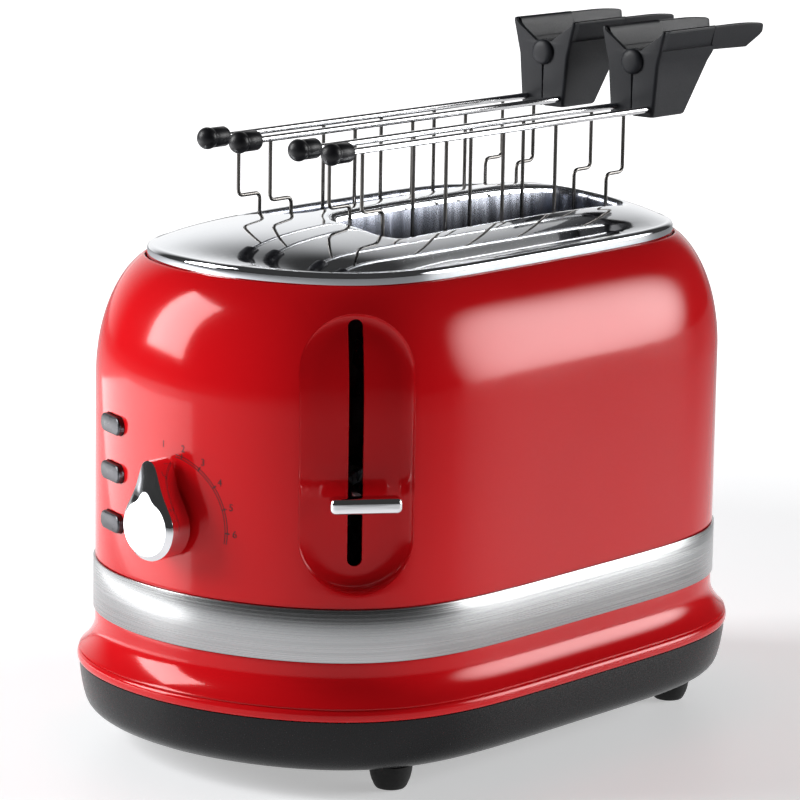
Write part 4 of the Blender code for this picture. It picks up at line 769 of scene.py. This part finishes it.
def buildPan():
    # the outside's shares of reach and height, the same curve set in by the wall, a ledge and two bosses
    shares, bottom, wallThick = np.array(pan["shares"]), pan["bottom"], pan["wall"]
    outside = np.column_stack([-pan["reach"] * shares[:, 0], bottom + (pan["top"] - bottom) * shares[:, 1]])
    outside = np.vstack([outside, (pan["tuck"], bottom)])
    along = np.gradient(outside, axis=0)
    along /= np.linalg.norm(along, axis=1)[:, None]
    within = outside + np.column_stack([-along[:, 1], along[:, 0]]) * wallThick
    inside = within[(within[:, 1] < pan["top"] - pan["underTop"]) & (within[:, 1] > bottom + wallThick)]
    profile = np.vstack([outside[::-1], pan["ledge"], inside, [(pan["tuck"], bottom + wallThick)]]) * mm
    forms = [loftForm(wallRings(evenTurns, profile))]
    for x, y in pan["bosses"]:
        forms.append(latheForm(np.array(pan["boss"]) * mm, 24, 2, np.array([x + middleX, y, 0]) * mm))
    tray = makePiece("basePan", gather(forms), "satinBlack")
    low, high = pan["openingLow"] * mm, pan["openingHigh"] * mm
    frontal = roundedOutline(pan["openingHalf"] * mm, (high - low) / 2, pan["openingCorner"] * mm, 3, (4, 2))
    opening = [np.column_stack([np.full(len(frontal), x * mm + bodyX), frontal + (0, (high + low) / 2)])
               for x in (pan["openingFrom"], pan["openingTo"])]
    hole = np.array([(pan["bushHole"], pan["bushFrom"]), (pan["bushHole"], pan["bushTo"])]) * mm
    bush = latheForm(hole, 32, 1, np.array([pan["bushX"] + middleX, 0, pan["bushZ"]]) * mm)
    carve(tray, [loftForm(opening), bush])
    dress(tray, "toaster", "satin_black", "base_tray")


feet = {"places": ((-93.2, -68.7), (93.2, -68.7), (-93.2, 68.7), (93.2, 68.7)),
        "profile": ((8.8, 9.9), (8.75, 9.0), (8.54, 7.1), (8.1, 5.0), (7.57, 3.4), (7.0, 2.1), (6.51, 1.09),
                    (6.1, 0.55), (5.75, 0.2), (5.2, 0.02), (4.4, 0.0), (3.9, 0.35))}


def buildFeet():
    # one profile turned round Z at each of the four places
    for number, (x, y) in enumerate(feet["places"], 1):
        form = latheForm(np.array(feet["profile"]) * mm, 48, 2, np.array([x + middleX, y, 0]) * mm)
        foot = makePiece(f"rubberFoot{number}", form, "footRubber")
        dress(foot, "toaster", "foot_rubber", f"foot_{number}")
    print("pan and feet:", 1 + len(feet["places"]))


# bright top plate

plate = {"rimInset": 20.6, "rimSide": 204.6, "rimRound": 2.2, "crown": 221.1, "domeHalf": (122.1, 68.9),
         "domePowers": (4, 2), "sheet": 1.0, "edgeEase": 18.0, "bendSteps": 9, "innerBendSteps": 5,
         "rimFold": ((20.6, 201.5), (20.6, 198.6), (20.75, 198.2), (21.1, 198.1), (21.45, 198.2),
                     (21.6, 198.6), (21.6, 204.4), (22.1, 205.4)),
         "slotFront": -66.0, "slotBack": 91.0, "slotPitch": 48.7, "slotHalf": 17.5, "slotCorner": 8.5,
         "lip": 3.6, "collarHeights": (206.0, 198.0, 190.4), "collarTop": 216.5, "collarMargin": 1.2,
         "collarFold": ((0.1, 190.1), (0.5, 190.0), (0.9, 190.1), (1.0, 190.4), (1.0, 205.0)),
         "lattice": 3.0, "latticeHalf": (124, 70), "edgeMargin": 1.6, "slotMargin": 1.4, "innerRing": 0.7,
         "edgeSlack": 0.05, "slotSlack": -0.02}
plateEdge = wallCurve(wallStations(lambda spots: np.full(len(spots), 2.0 * mm)))
plateLoop = plateEdge[0] - plateEdge[1] * (plate["rimInset"] + plate["rimRound"]) * mm
plateAngles = np.arctan2(plateLoop[:, 1], plateLoop[:, 0])
plateOrder = np.argsort(plateAngles)


def plateReach(x, y):
    # how far the plate's edge lies from its middle towards each point
    angles, reaches = plateAngles[plateOrder], np.hypot(*plateLoop[plateOrder].T)
    return np.interp(np.arctan2(y, x), angles, reaches, period=math.tau)


def plateHeight(x, y):
    # a quartic along X times a parabola along Y, eased to the level of the rim at the edge
    share = np.clip(np.hypot(x, y) / plateReach(x, y), 0, 1)
    base = (plate["rimSide"] + plate["rimRound"]) * mm
    (halfX, halfY), (powerX, powerY) = plate["domeHalf"], plate["domePowers"]
    fall = (1 - (x / (halfX * mm)) ** powerX) * (1 - (y / (halfY * mm)) ** powerY)
    return base + (plate["crown"] * mm - base) * np.clip(fall, 0, 1) * (1 - share ** plate["edgeEase"])


def slotLoop(grow, side):
    # the mouth's rounded rectangle, grown outwards
    half = (plate["slotBack"] - plate["slotFront"]) / 2
    outline = roundedOutline((half + grow) * mm, (plate["slotHalf"] + grow) * mm,
                             (plate["slotCorner"] + grow) * mm, 12, (58, 12))
    middle = np.array([(plate["slotFront"] + plate["slotBack"]) / 2, side * plate["slotPitch"] / 2])
    return outline + middle * mm


def slotDistance(x, y, side):
    # how far outside a grown mouth a point lies
    halfX = ((plate["slotBack"] - plate["slotFront"]) / 2 - plate["slotCorner"]) * mm
    halfY = (plate["slotHalf"] - plate["slotCorner"]) * mm
    overX = np.maximum(np.abs(x - (plate["slotFront"] + plate["slotBack"]) / 2 * mm) - halfX, 0)
    overY = np.maximum(np.abs(y - side * plate["slotPitch"] / 2 * mm) - halfY, 0)
    return np.hypot(overX, overY) - (plate["slotCorner"] + plate["lip"]) * mm


def plateFill(loops):
    # triangles between the plate's edge and its two mouths, on a lattice of staggered points
    step, (halfX, halfY) = plate["lattice"], plate["latticeHalf"]
    x, y = np.meshgrid(np.arange(-halfX, halfX + 1, step) * mm, np.arange(-halfY, halfY + 1, step) * mm)
    x = x + (np.arange(x.shape[0]) % 2)[:, None] * (step * mm) / 2
    x, y = x.ravel(), y.ravel()
    free = np.hypot(x, y) < plateReach(x, y) - plate["edgeMargin"] * mm
    for side in (-1, 1):
        free &= slotDistance(x, y, side) > plate["slotMargin"] * mm
    innerInset = plate["rimInset"] + plate["rimRound"] + plate["innerRing"]
    innerRing = plateEdge[0] - plateEdge[1] * innerInset * mm
    spots = np.vstack([*loops, innerRing, np.column_stack([x[free], y[free]])])
    edges, start = [], 0
    for loop in loops:
        number = np.arange(len(loop)) + start
        edges += np.column_stack([number, np.roll(number, -1)]).tolist()
        start += len(loop)
    found = delaunay_2d_cdt((spots / mm).tolist(), edges, [], 0, 1e-6)
    flat = np.array([tuple(spot) for spot in found[0]]) * mm
    if len(flat) != len(spots):
        raise RuntimeError("the plate's fill moved its edge points")
    triangles = np.array([tuple(face) for face in found[2]])
    middleX, middleY = flat[triangles].mean(axis=1).T
    inside = np.hypot(middleX, middleY) < plateReach(middleX, middleY) + plate["edgeSlack"] * mm
    for side in (-1, 1):
        inside &= slotDistance(middleX, middleY, side) > plate["slotSlack"] * mm
    return flat, triangles[inside]


def rimRings():
    # a quarter turn down from the dome's edge, then the fold under it
    bends = np.linspace(math.pi / 2, 0, plate["bendSteps"])[1:]
    profile = [(plate["rimInset"] + plate["rimRound"] * (1 - math.cos(bend)),
                plate["rimSide"] + plate["rimRound"] * math.sin(bend)) for bend in bends]
    return [np.column_stack([plateEdge[0] - plateEdge[1] * inset * mm, np.full(len(plateLoop), height * mm)])
            for inset, height in [*profile, *plate["rimFold"]]]


def mouthRings(side):
    # a quarter turn down into the mouth, the collar, its fold, and the way back up inside
    lip, sheet, rings = plate["lip"], plate["sheet"], []
    outerBends = np.linspace(math.pi / 2, 0, plate["bendSteps"])[1:]
    innerBends = np.linspace(0, math.pi / 2, plate["innerBendSteps"])[1:-1]
    rolls = [(lip * (1 - math.cos(bend)), lip * (1 - math.sin(bend)) * mm) for bend in outerBends]
    backs = [(sheet + (lip - sheet) * (1 - math.cos(bend)),
              (sheet + (lip - sheet) * (1 - math.sin(bend))) * mm) for bend in innerBends]
    for grow, drop in rolls:
        grown = slotLoop(grow, side)
        rings.append(np.column_stack([grown, plateHeight(*grown.T) - drop]))
    for grow, height in [*((0, height) for height in plate["collarHeights"]), *plate["collarFold"]]:
        grown = slotLoop(grow, side)
        rings.append(np.column_stack([grown, np.full(len(grown), height * mm)]))
    for grow, drop in backs:
        grown = slotLoop(grow, side)
        rings.append(np.column_stack([grown, plateHeight(*grown.T) - drop]))
    return rings


def buildPlate():
    # the dome and its underside, joined by the rim's rings and those of the two mouths
    loops = [plateLoop, slotLoop(plate["lip"], -1), slotLoop(plate["lip"], 1)]
    flat, triangles = plateFill(loops)
    dome = np.column_stack([flat, plateHeight(*flat.T)])
    points, faces = [dome, dome - (0, 0, plate["sheet"] * mm)], [triangles, triangles[:, ::-1] + len(dome)]
    total, start = 2 * len(dome), 0
    for loop, rings in zip(loops, (rimRings(), mouthRings(-1), mouthRings(1))):
        number, count = np.arange(len(loop)) + start, len(loop)
        start += count
        between = total + np.arange(len(rings) * count).reshape(-1, count)
        stack = np.vstack([number[None], between, number[None] + len(dome)])
        turned = np.roll(stack, -1, axis=1)
        faces.append(np.stack([stack[:-1], stack[1:], turned[1:], turned[:-1]], axis=-1).reshape(-1, 4))
        points.append(np.array(rings).reshape(-1, 3))
        total += len(rings) * count
    sheet = makePiece("topPlate", (np.vstack(points) + (bodyX, 0, 0), faces), "polishedChrome", 50)
    x, y, z = faceCentres(sheet)
    mouth = np.minimum(*(slotDistance(x - bodyX, y, side) for side in (-1, 1)))
    collar = mouth < (plate["collarMargin"] - plate["lip"]) * mm
    paintFaces(sheet, "drawnCollar", collar & (z < plate["collarTop"] * mm))
    dress(sheet, "toaster", "polished_chrome", "top_plate")
    print("top plate:", len(sheet.data.polygons), "faces")


# lever bar

lever = {"width": 28.2, "height": 6.4, "depth": 8.5, "round": 2.2, "stand": 4.0, "shift": 1.5, "z": 121.0}


def buildLever():
    # rounded rectangles along the bar's depth, shrunk on quarter circles at its two faces
    bend, ease, depth = np.linspace(0, math.pi / 2, 8), lever["round"], lever["depth"]
    inset = ease * (1 - np.cos(bend))
    back = np.column_stack([lever["stand"] + ease * (1 - np.sin(bend)), inset])[::-1]
    front = np.column_stack([lever["stand"] + depth - ease * (1 - np.sin(bend)), inset])
    rings = []
    for out, inset in np.vstack([back, front]):
        outline = roundedOutline((lever["width"] / 2 - inset) * mm, (lever["height"] / 2 - inset) * mm,
                                 (ease - inset * 0.9) * mm + 0.05 * mm, 6, (10, 3))
        across, height = outline[:, 0] + lever["shift"] * mm, outline[:, 1] + lever["z"] * mm
        rings.append(fromRecess(out * mm, across, height))
    bar = makePiece("leverBar", loftForm(rings, flatEnds=False), "chromedPlastic", 50)
    dress(bar, "lever_carriage", "chromed_plastic", "lever_bar")


# sandwich cages

cage = {"centres": (("near", -24.35), ("far", 24.35)), "halfGap": 8.6, "rail": 250.2, "railRadius": 1.4,
        "railFrom": -91.7, "railTo": 130.5, "wireRadius": 0.8, "crossRadius": 0.7,
        "wires": (-21.5, 15.6, 50.7), "hooks": (-74.0, 97.7), "sides": (-61.0, 86.5), "hookZ": 225.0,
        "crosses": (86.0, 150.0), "crossEnd": 1.6, "foot": 81.1, "ledge": 5.0, "ledgeBend": 1.8,
        "bend": 2.8}
cap = {"tip": -96.8, "mouth": -82.6, "ballRadius": 4.5, "ballShare": 0.86, "ballTurn": (0.12, 2.25),
       "sleeveRadius": 4.1, "neckRadius": 3.9, "neckMargin": 0.15, "hole": 1.7, "holeDepth": 7.0}
grip = {"x": 114.5, "wall": 2.0, "foot": 246.6, "waist": 269.0, "notch": 275.2, "top": 284.2,
        "footHalf": 11.5, "waistHalf": 13.4, "topHalf": 17.4, "footLength": 22.5, "backLength": 39.5,
        "tabLow": 273.4, "wing": 2.2, "wallTop": 275.4, "wallStep": 1.2, "stepAt": 5.0, "split": 0.2,
        "splitStep": (262.0, 0.2), "notchHalf": 4.4, "notchSlope": 1.42,
        "heights": (246.6, 246.85, 247.3, 252.0, 257.0, 263.0, 269.0, 272.6),
        "upperHeights": (277.0, 278.6, 280.2, 281.6, 282.6, 283.4), "footEase": (0.7, 0.3),
        "topEase": (0.12, 0.35, 0.8), "rounding": (0.35, 1.5, 1.0, 0.6, 0.6, 0.4, 0.35)}
# droop, low droop and bevel of the tab: where each starts, over what length, and how much in all
tab = {"lengths": (38.0, 46.0, 54.0, 59.0, 62.5, 65.0, 67.0, 69.0, 71.0, 72.8, 74.2, 74.9, 75.0),
       "tipEase": (0.15, 0.5, 0.9), "droop": (54.0, 21.0, 1.2), "lowDroop": (40.0, 24.0, 0.6),
       "bevel": (65.0, 10.0, 5.6), "rounding": (0.5, 0.8, 0.8, 0.5)}
pivot = {"z": 271.0, "radius": 4.8, "length": 6.0, "starts": {-1: 2.3, 1: 8.6},
         "web": (2.4, 12.2, 268.8, 273.2), "webEnd": 0.3, "bossZ": 270.2,
         "socket": (5.4, 10.6, 247.3, 253.4), "socketFrom": 1.0, "socketTo": 18.0,
         "boss": ((1.2, -1.8), (2.6, -1.72), (3.9, -1.52), (4.8, -1.15), (5.35, -0.65), (5.55, -0.2),
                  (5.6, 0.0), (2.0, 0.0), (2.0, 20.0)),
         "bossStand": 0.3}


def wireForm(spots, bend, across):
    # a bent wire of the cage through spots in mm
    return tubeForm(bentPath(spots, bend) * mm + (bodyX, 0, 0), cage["wireRadius"] * mm, across)


def barForm(ends, y, z, radius, steps, sides=14):
    # a straight wire along X
    path = np.column_stack([np.linspace(*ends, steps), np.full(steps, y), np.full(steps, z)])
    return tubeForm(path * mm + (bodyX, 0, 0), radius * mm, (0, 1, 0), sides)


def buildPanel(name, centre, side, body):
    # a rail, three straight wires with a foot ledge, two hooked end wires and two cross wires
    y, rail, foot = centre + side * cage["halfGap"], cage["rail"], cage["foot"]
    forms = [barForm((cage["railFrom"], cage["railTo"]), y, rail, cage["railRadius"], 12, 24)]
    for x in cage["wires"]:
        spots = [(x, y, rail), (x, y, foot), (x, y - side * cage["ledge"], foot)]
        forms.append(wireForm(spots, cage["ledgeBend"], (1, 0, 0)))
    for hook, sideX in zip(cage["hooks"], cage["sides"]):
        spots = [(hook, y, rail), (hook, y, cage["hookZ"]), (sideX, y, cage["hookZ"]), (sideX, y, foot)]
        forms.append(wireForm(spots, cage["bend"], (0, 1, 0)))
    ends = cage["sides"][0] - cage["crossEnd"], cage["sides"][1] + cage["crossEnd"]
    forms += [barForm(ends, y, height, cage["crossRadius"], 6) for height in cage["crosses"]]
    panel = makePiece(f"{name}Panel", gather(forms), "wireSteel", 60)
    paintFaces(panel, "darkWire", faceCentres(panel)[2] < (rail - cage["railRadius"] - 0.1) * mm)
    dress(panel, body, "wire_steel", f"{body[:-4]}_panel")


def buildCap(name, centre, side, body):
    # a ball end run into a sleeve, with an open mouth round the rail
    mouth, sleeve, neckRadius = cap["mouth"], cap["sleeveRadius"], cap["neckRadius"]
    bend = np.linspace(*cap["ballTurn"], 18)
    ball = np.column_stack([cap["ballRadius"] * np.sin(bend),
                            cap["tip"] + cap["ballRadius"] * cap["ballShare"] * (1 - np.cos(bend))])
    ball = ball[(ball[:, 0] > neckRadius + cap["neckMargin"]) | (bend < math.pi / 2)]
    neck = ball[-1, 1]
    profile = np.vstack([ball, [(neckRadius, neck + 0.5), (neckRadius, neck + 0.9), (sleeve, neck + 1.5),
                                (sleeve, mouth - 0.8), (sleeve - 0.3, mouth - 0.2), (sleeve - 0.8, mouth),
                                (cap["hole"], mouth), (cap["hole"], mouth - cap["holeDepth"])]])
    place = np.array([middleX, centre + side * cage["halfGap"], cage["rail"]]) * mm
    piece = makePiece(f"{name}Cap", latheForm(profile * mm, 40, 0, place), "capBlack", 35)
    dress(piece, body, "grip_black", f"{body[:-4]}_cap")


def gripHalf(height):
    # half the grip's width, which runs straight from foot to waist and from waist to top
    return np.interp(height, (grip["foot"], grip["waist"], grip["top"]),
                     (grip["footHalf"], grip["waistHalf"], grip["topHalf"]))


def gripShell(side):
    # an L section of front plate and side wall carried upwards, its split opening into a notch
    step, top, notchZ, thick = grip["wallTop"], grip["top"], grip["notch"], grip["wall"]
    heights = np.array([*grip["heights"], notchZ - 0.9, notchZ, step, step + 0.12, *grip["upperHeights"],
                        top - 0.25, top])
    ease = np.zeros(len(heights))
    ease[:2], ease[-3:] = grip["footEase"], grip["topEase"]
    half = gripHalf(heights)
    split = grip["split"] + grip["splitStep"][1] * (heights > grip["splitStep"][0])
    notch = grip["notchHalf"] + (heights - notchZ) * grip["notchSlope"]
    split = np.where(heights < notchZ - 0.5, split, np.minimum(notch, half - grip["wing"])) + ease
    lengths = np.interp(heights, (grip["foot"], grip["tabLow"]), (grip["footLength"], grip["backLength"]))
    drawnIn = np.where(heights > step + 0.05, grip["wallStep"], 0)
    front, inner, back = grip["x"] + ease, grip["x"] + thick - ease, grip["x"] + lengths - ease
    outside, within = half - ease - drawnIn, half - thick + ease - drawnIn
    corners = [(front, split), (front, half - ease), (front + grip["stepAt"], outside), (back, outside),
               (back, within), (inner, within), (inner, split)]
    corners = np.stack([np.stack(corner, -1) for corner in corners], axis=1)
    outline = roundPolygon(corners, grip["rounding"], 6)
    height = np.broadcast_to(heights[:, None, None], outline.shape[:2] + (1,))
    return loftForm(np.concatenate([outline * (1, side), height], axis=-1))


def thumbTab(side):
    # the side wall's upper edge carried backwards, with a bevelled tip
    lengths = np.array(tab["lengths"])
    ease = np.zeros(len(lengths))
    ease[-3:] = tab["tipEase"]
    droop, lowDroop, bevel = (np.clip((lengths - tab[key][0]) / tab[key][1], 0, 1)
                              for key in ("droop", "lowDroop", "bevel"))
    high = grip["top"] - 0.2 - tab["droop"][2] * droop ** 2 - ease
    low = grip["tabLow"] - tab["lowDroop"][2] * lowDroop + tab["bevel"][2] * bevel + ease
    halfHigh = gripHalf(high) - ease * 0.4 - grip["wallStep"]
    halfLow = gripHalf(low) - ease * 0.4 - grip["wallStep"] * 0.6
    thick = grip["wall"] - ease * 0.8
    corners = [(halfLow - thick, low), (halfLow, low), (halfHigh, high), (halfHigh - thick, high)]
    corners = np.stack([np.stack(corner, -1) for corner in corners], axis=1)
    outline = roundPolygon(corners, tab["rounding"], 5)
    x = np.broadcast_to((grip["x"] + lengths)[:, None, None], outline.shape[:2] + (1,))
    return loftForm(np.concatenate([x, outline[..., :1] * side, outline[..., 1:]], axis=-1))


def blockForm(ends, section, side):
    # a plain block between two places along X, mirrored to its side
    nearY, farY, low, high = section
    corners = ((nearY, low), (farY, low), (farY, high), (nearY, high))
    return loftForm(np.array([(x, side * y, z) for x in ends for y, z in corners]).reshape(2, 4, 3))


def buildGrip(name, centre, side, body):
    # shell and tab, a knuckle on its web, and the socket of the rail
    start = grip["x"] + pivot["starts"][side]
    end = start + pivot["length"]
    knuckle = latheForm([(pivot["radius"], start), (pivot["radius"], end)], 40, 0, (0, 0, pivot["z"]))
    web = blockForm((start + pivot["webEnd"], end - pivot["webEnd"]), pivot["web"], side)
    socketEnds = grip["x"] + pivot["socketFrom"], grip["x"] + pivot["socketTo"]
    socket = blockForm(socketEnds, pivot["socket"], side)
    points, faces = gather([gripShell(side), thumbTab(side), knuckle, web, socket])
    points = (points + (0, centre, 0)) * mm + (bodyX, 0, 0)
    piece = makePiece(f"{name}Grip", (points, faces), "gripBlack", 32)
    dress(piece, body, "grip_black", f"{body[:-4]}_grip")


def buildBoss(name, centre, body):
    # the covered head of the pin, low and domed, with its shank through the knuckles
    profile = np.array(pivot["boss"]) + (0, grip["x"] - pivot["bossStand"])
    place = np.array([middleX, centre, pivot["bossZ"]]) * mm
    boss = makePiece(f"{name}Boss", latheForm(profile * mm, 48, 0, place), "gripBlack", 40)
    dress(boss, body, "grip_black", f"{name}_pivot_pin")


def buildCages():
    # each cage's pin head, then the panel, cap and grip of its two jaws
    for name, centre in cage["centres"]:
        buildBoss(name, centre, f"{name}_cage")
        for sideName, side in (("left", -1), ("right", 1)):
            body, label = f"{name}_{sideName}_jaw", f"{name}{sideName.capitalize()}"
            buildPanel(label, centre, side, body)
            buildCap(label, centre, side, body)
            buildGrip(label, centre, side, body)
    print("cages:", len(cage["centres"]))


# return spring, hung from the chassis

spring = {"curls": 11, "curlSteps": 24, "wire": 0.4, "wireSides": 8, "travel": 66.0}


def buildSpring():
    # radius times cosine and sine of the turn, rising evenly; the wire's circles stand on radius and height
    low, high = (np.array(corner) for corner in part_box("return_spring"))
    wire, middle = spring["wire"] * mm, (low + high) / 2
    turn = np.linspace(0, math.tau * spring["curls"], spring["curls"] * spring["curlSteps"] + 1)
    outward = np.column_stack([np.cos(turn), np.sin(turn), np.zeros(len(turn))])
    path = middle + ((high[0] - low[0]) / 2 - wire) * outward
    path[:, 2] = np.linspace(low[2] + wire, high[2] - wire, len(turn))
    around = (np.arange(spring["wireSides"]) * math.tau / spring["wireSides"])[None, :, None]
    rings = path[:, None] + wire * (np.cos(around) * outward[:, None] + np.sin(around) * np.array([0, 0, 1]))
    coil = makePiece("returnCoil", loftForm(rings, flatEnds=False), "wireSteel", 60)
    dress(coil, "toaster", "wire_steel", "return_spring")
    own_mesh(coil)


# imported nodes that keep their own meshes

keptNodes = {
    "zincSheet": ("chassis_front", "chassis_rear", "inner_shield_near", "inner_shield_far", "latch_magnet",
                  "carriage", "dial_shaft", "crumb_tray", "potentiometer", "base_screw_near",
                  "base_screw_far"),
    "micaCard": ("heater_card_near", "heater_card_centre", "heater_card_far"),
    "nichromeRibbon": tuple(f"heater_ribbon_{number}" for number in (1, 2, 3, 4)),
    "wireSteel": (*(f"bread_guard_{number}" for number in (1, 2, 3, 4)), "guide_rod_near", "guide_rod_far",
                  "lifter_near", "lifter_far"),
    "boardGreen": ("control_board", "button_board"),
    "windingCopper": ("magnet_winding",),
    "partBlack": ("cable_bush",),
}


def finishKeptNodes():
    # one finish on every slot of the nodes that no piece replaces
    for finish, names in keptNodes.items():
        for name in names:
            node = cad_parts[name]
            for slot in node.material_slots:
                slot.material = finishes[finish]
    print("kept nodes:", sum(map(len, keptNodes.values())))


# studio

# the floor glows as painted light: floorGlow near the toaster, rising with distance from the middle to a
# white glow for the camera only
studio = {"floor": (0.80, 0.81, 0.83), "darkShare": 0.99, "cloud": 3.0, "floorGlow": 0.42, "floorHalf": 6.0,
          "glowRiseFrom": 0.42, "glowRiseTo": 0.95, "ambient": 0.04,
          "glows": ((50, 3, 8, 46, 1.0), (-41, 12, 4, 22, 10.0)),   # azimuth, elevation, full, none, power
          "keyFrom": (-0.155, 0.0, 0.18), "keyAzimuth": 126.5, "keyElevation": 24, "keyDistance": 1.7,
          "keySize": (0.74, 1.08), "keyPower": 36,
          "bounceFrom": (-0.160, -0.007, 0.004), "bounceAzimuth": 146, "bounceOut": 0.60,
          "bounceAside": 0.42, "bounceSize": (0.68, 0.84), "bouncePower": 4.5}


def buildFloor():
    # pale, with a painted glow: floorGlow under the toaster, rising further off to a white glow that only the
    # camera sees, so it sends no light to the gloss
    mesh = bpy.data.meshes.new("floor")
    half = studio["floorHalf"]
    corners = [(-half, -half, 0), (half, -half, 0), (half, half, 0), (-half, half, 0)]
    mesh.from_pydata(corners, [], [(0, 1, 2, 3)])
    finish = newFinish("paleGlowingFloor", {"Roughness": 0.45, "Specular IOR Level": 0.12,
                                     "Emission Color": (1.0, 1.0, 1.0),
                                     "Emission Strength": studio["floorGlow"]})
    dark = tuple(part * studio["darkShare"] for part in studio["floor"])
    varyColour(finish, noisePattern(finish, studio["cloud"]), dark, studio["floor"])
    nodes, links = finish["tree"].nodes, finish["tree"].links
    distance = nodes.new("ShaderNodeVectorMath")
    distance.operation = "LENGTH"
    rise = nodes.new("ShaderNodeMapRange")
    rise.inputs["From Min"].default_value = studio["glowRiseFrom"]
    rise.inputs["From Max"].default_value = studio["glowRiseTo"]
    pick = nodes.new("ShaderNodeMix")
    pick.inputs["A"].default_value = studio["floorGlow"]
    links.new(finish["place"], distance.inputs[0])
    links.new(distance.outputs["Value"], rise.inputs["Value"])
    links.new(rise.outputs["Result"], pick.inputs["Factor"])
    links.new(nodes.new("ShaderNodeLightPath").outputs["Is Camera Ray"], pick.inputs["B"])
    links.new(pick.outputs["Result"], finish["shader"].inputs["Emission Strength"])
    mesh.materials.append(finish["material"])
    floor = bpy.data.objects.new("floor", mesh)
    bpy.context.scene.collection.objects.link(floor)


def turnTo(place, right, up, back):
    # the matrix of a light or camera that looks against back
    return Matrix.Translation(place) @ Matrix(np.column_stack([right, up, back])).to_4x4()


def buildLight(name, place, back, right, size, power):
    # a rectangle that shines against back, with its width along right
    light = bpy.data.lights.new(name, "AREA")
    light.shape, light.size, light.size_y, light.energy = "RECTANGLE", *size, power
    lamp = bpy.data.objects.new(name, light)
    bpy.context.scene.collection.objects.link(lamp)
    lamp.matrix_world = turnTo(place, right, np.cross(back, right), back)
    lamp.visible_camera = False


def aim(azimuth, elevation=0):
    # the direction at an azimuth and an elevation in degrees
    azimuth, elevation = math.radians(azimuth), math.radians(elevation)
    return np.array([math.cos(azimuth) * math.cos(elevation), math.sin(azimuth) * math.cos(elevation),
                     math.sin(elevation)])


def buildWorld():
    # a dim room with soft glows: a pale backdrop behind the toaster and a soft box on its right
    world = bpy.data.worlds.new("studio")
    world.use_nodes = True
    bpy.context.scene.world = world
    nodes, links = world.node_tree.nodes, world.node_tree.links
    toward = nodes.new("ShaderNodeTexCoord").outputs["Generated"]
    total = None
    for azimuth, elevation, full, none, power in studio["glows"]:
        dot = nodes.new("ShaderNodeVectorMath")
        dot.operation = "DOT_PRODUCT"
        dot.inputs[1].default_value = aim(azimuth, elevation)
        links.new(toward, dot.inputs[0])
        glow = nodes.new("ShaderNodeMapRange")
        glow.interpolation_type = "SMOOTHSTEP"
        glow.inputs["From Min"].default_value = math.cos(math.radians(none))
        glow.inputs["From Max"].default_value = math.cos(math.radians(full))
        glow.inputs["To Max"].default_value = power
        links.new(dot.outputs["Value"], glow.inputs["Value"])
        plus = nodes.new("ShaderNodeMath")
        plus.operation = "ADD"
        plus.inputs[0].default_value = studio["ambient"]
        links.new(glow.outputs["Result"], plus.inputs[1])
        if total:
            links.new(total, plus.inputs[0])
        total = plus.outputs["Value"]
    seen = nodes.new("ShaderNodeLightPath").outputs["Is Camera Ray"]
    pick = nodes.new("ShaderNodeMix")
    pick.inputs["B"].default_value = 1.0
    links.new(seen, pick.inputs["Factor"])
    links.new(total, pick.inputs["A"])
    links.new(pick.outputs["Result"], nodes["Background"].inputs["Strength"])
    nodes["Background"].inputs["Color"].default_value = (1.0, 1.0, 1.0, 1.0)


def buildStudio():
    # floor, world, the key box beside the toaster and the soft box low over the floor
    buildFloor()
    buildWorld()
    toKey = aim(studio["keyAzimuth"], studio["keyElevation"])
    buildLight("keyBox", np.array(studio["keyFrom"]) + studio["keyDistance"] * toKey, toKey,
               aim(studio["keyAzimuth"] + 90), studio["keySize"], studio["keyPower"])
    reach, aside = aim(studio["bounceAzimuth"]), aim(studio["bounceAzimuth"] - 90)
    patch = np.array(studio["bounceFrom"]) + reach * studio["bounceOut"] + aside * studio["bounceAside"]
    buildLight("floorBox", patch, np.array([0, 0, -1]), reach, studio["bounceSize"], studio["bouncePower"])
    bpy.context.scene.view_settings.view_transform = "Standard"
    print("studio ready")


viewpoint = {"azimuth": -50.44, "elevation": 11.13, "roll": 1.0, "distance": 1.7735, "z": 133.9,
             "sensor": 36.0, "lens": 190.4, "shift": (-0.0164, 0.0017), "clip": (0.05, 40)}


def buildCamera():
    # the photograph's view: azimuth, elevation and a roll of one degree
    azimuth, elevation, roll = (math.radians(viewpoint[part]) for part in ("azimuth", "elevation", "roll"))
    back = np.array([math.sin(azimuth) * math.cos(elevation), -math.cos(azimuth) * math.cos(elevation),
                     math.sin(elevation)])
    right = np.array([math.cos(azimuth), math.sin(azimuth), 0.0])
    up = np.cross(back, right)
    right, up = (right * math.cos(roll) + up * math.sin(roll), up * math.cos(roll) - right * math.sin(roll))
    view = bpy.data.cameras.new("camera")
    view.sensor_width, view.lens = viewpoint["sensor"], viewpoint["lens"]
    view.shift_x, view.shift_y = viewpoint["shift"]
    view.clip_start, view.clip_end = viewpoint["clip"]
    camera = bpy.data.objects.new("camera", view)
    bpy.context.scene.collection.objects.link(camera)
    spot = back * viewpoint["distance"] + (bodyX, 0, viewpoint["z"] * mm)
    camera.matrix_world = turnTo(spot, right, up, back)
    bpy.context.scene.camera = camera


buildShell()
buildBand()
buildSkirt()
buildPan()
buildFeet()
buildPlate()
buildButtons()
buildDial()
buildScale()
buildLever()
buildCages()
buildSpring()
finishKeptNodes()
buildStudio()
buildCamera()
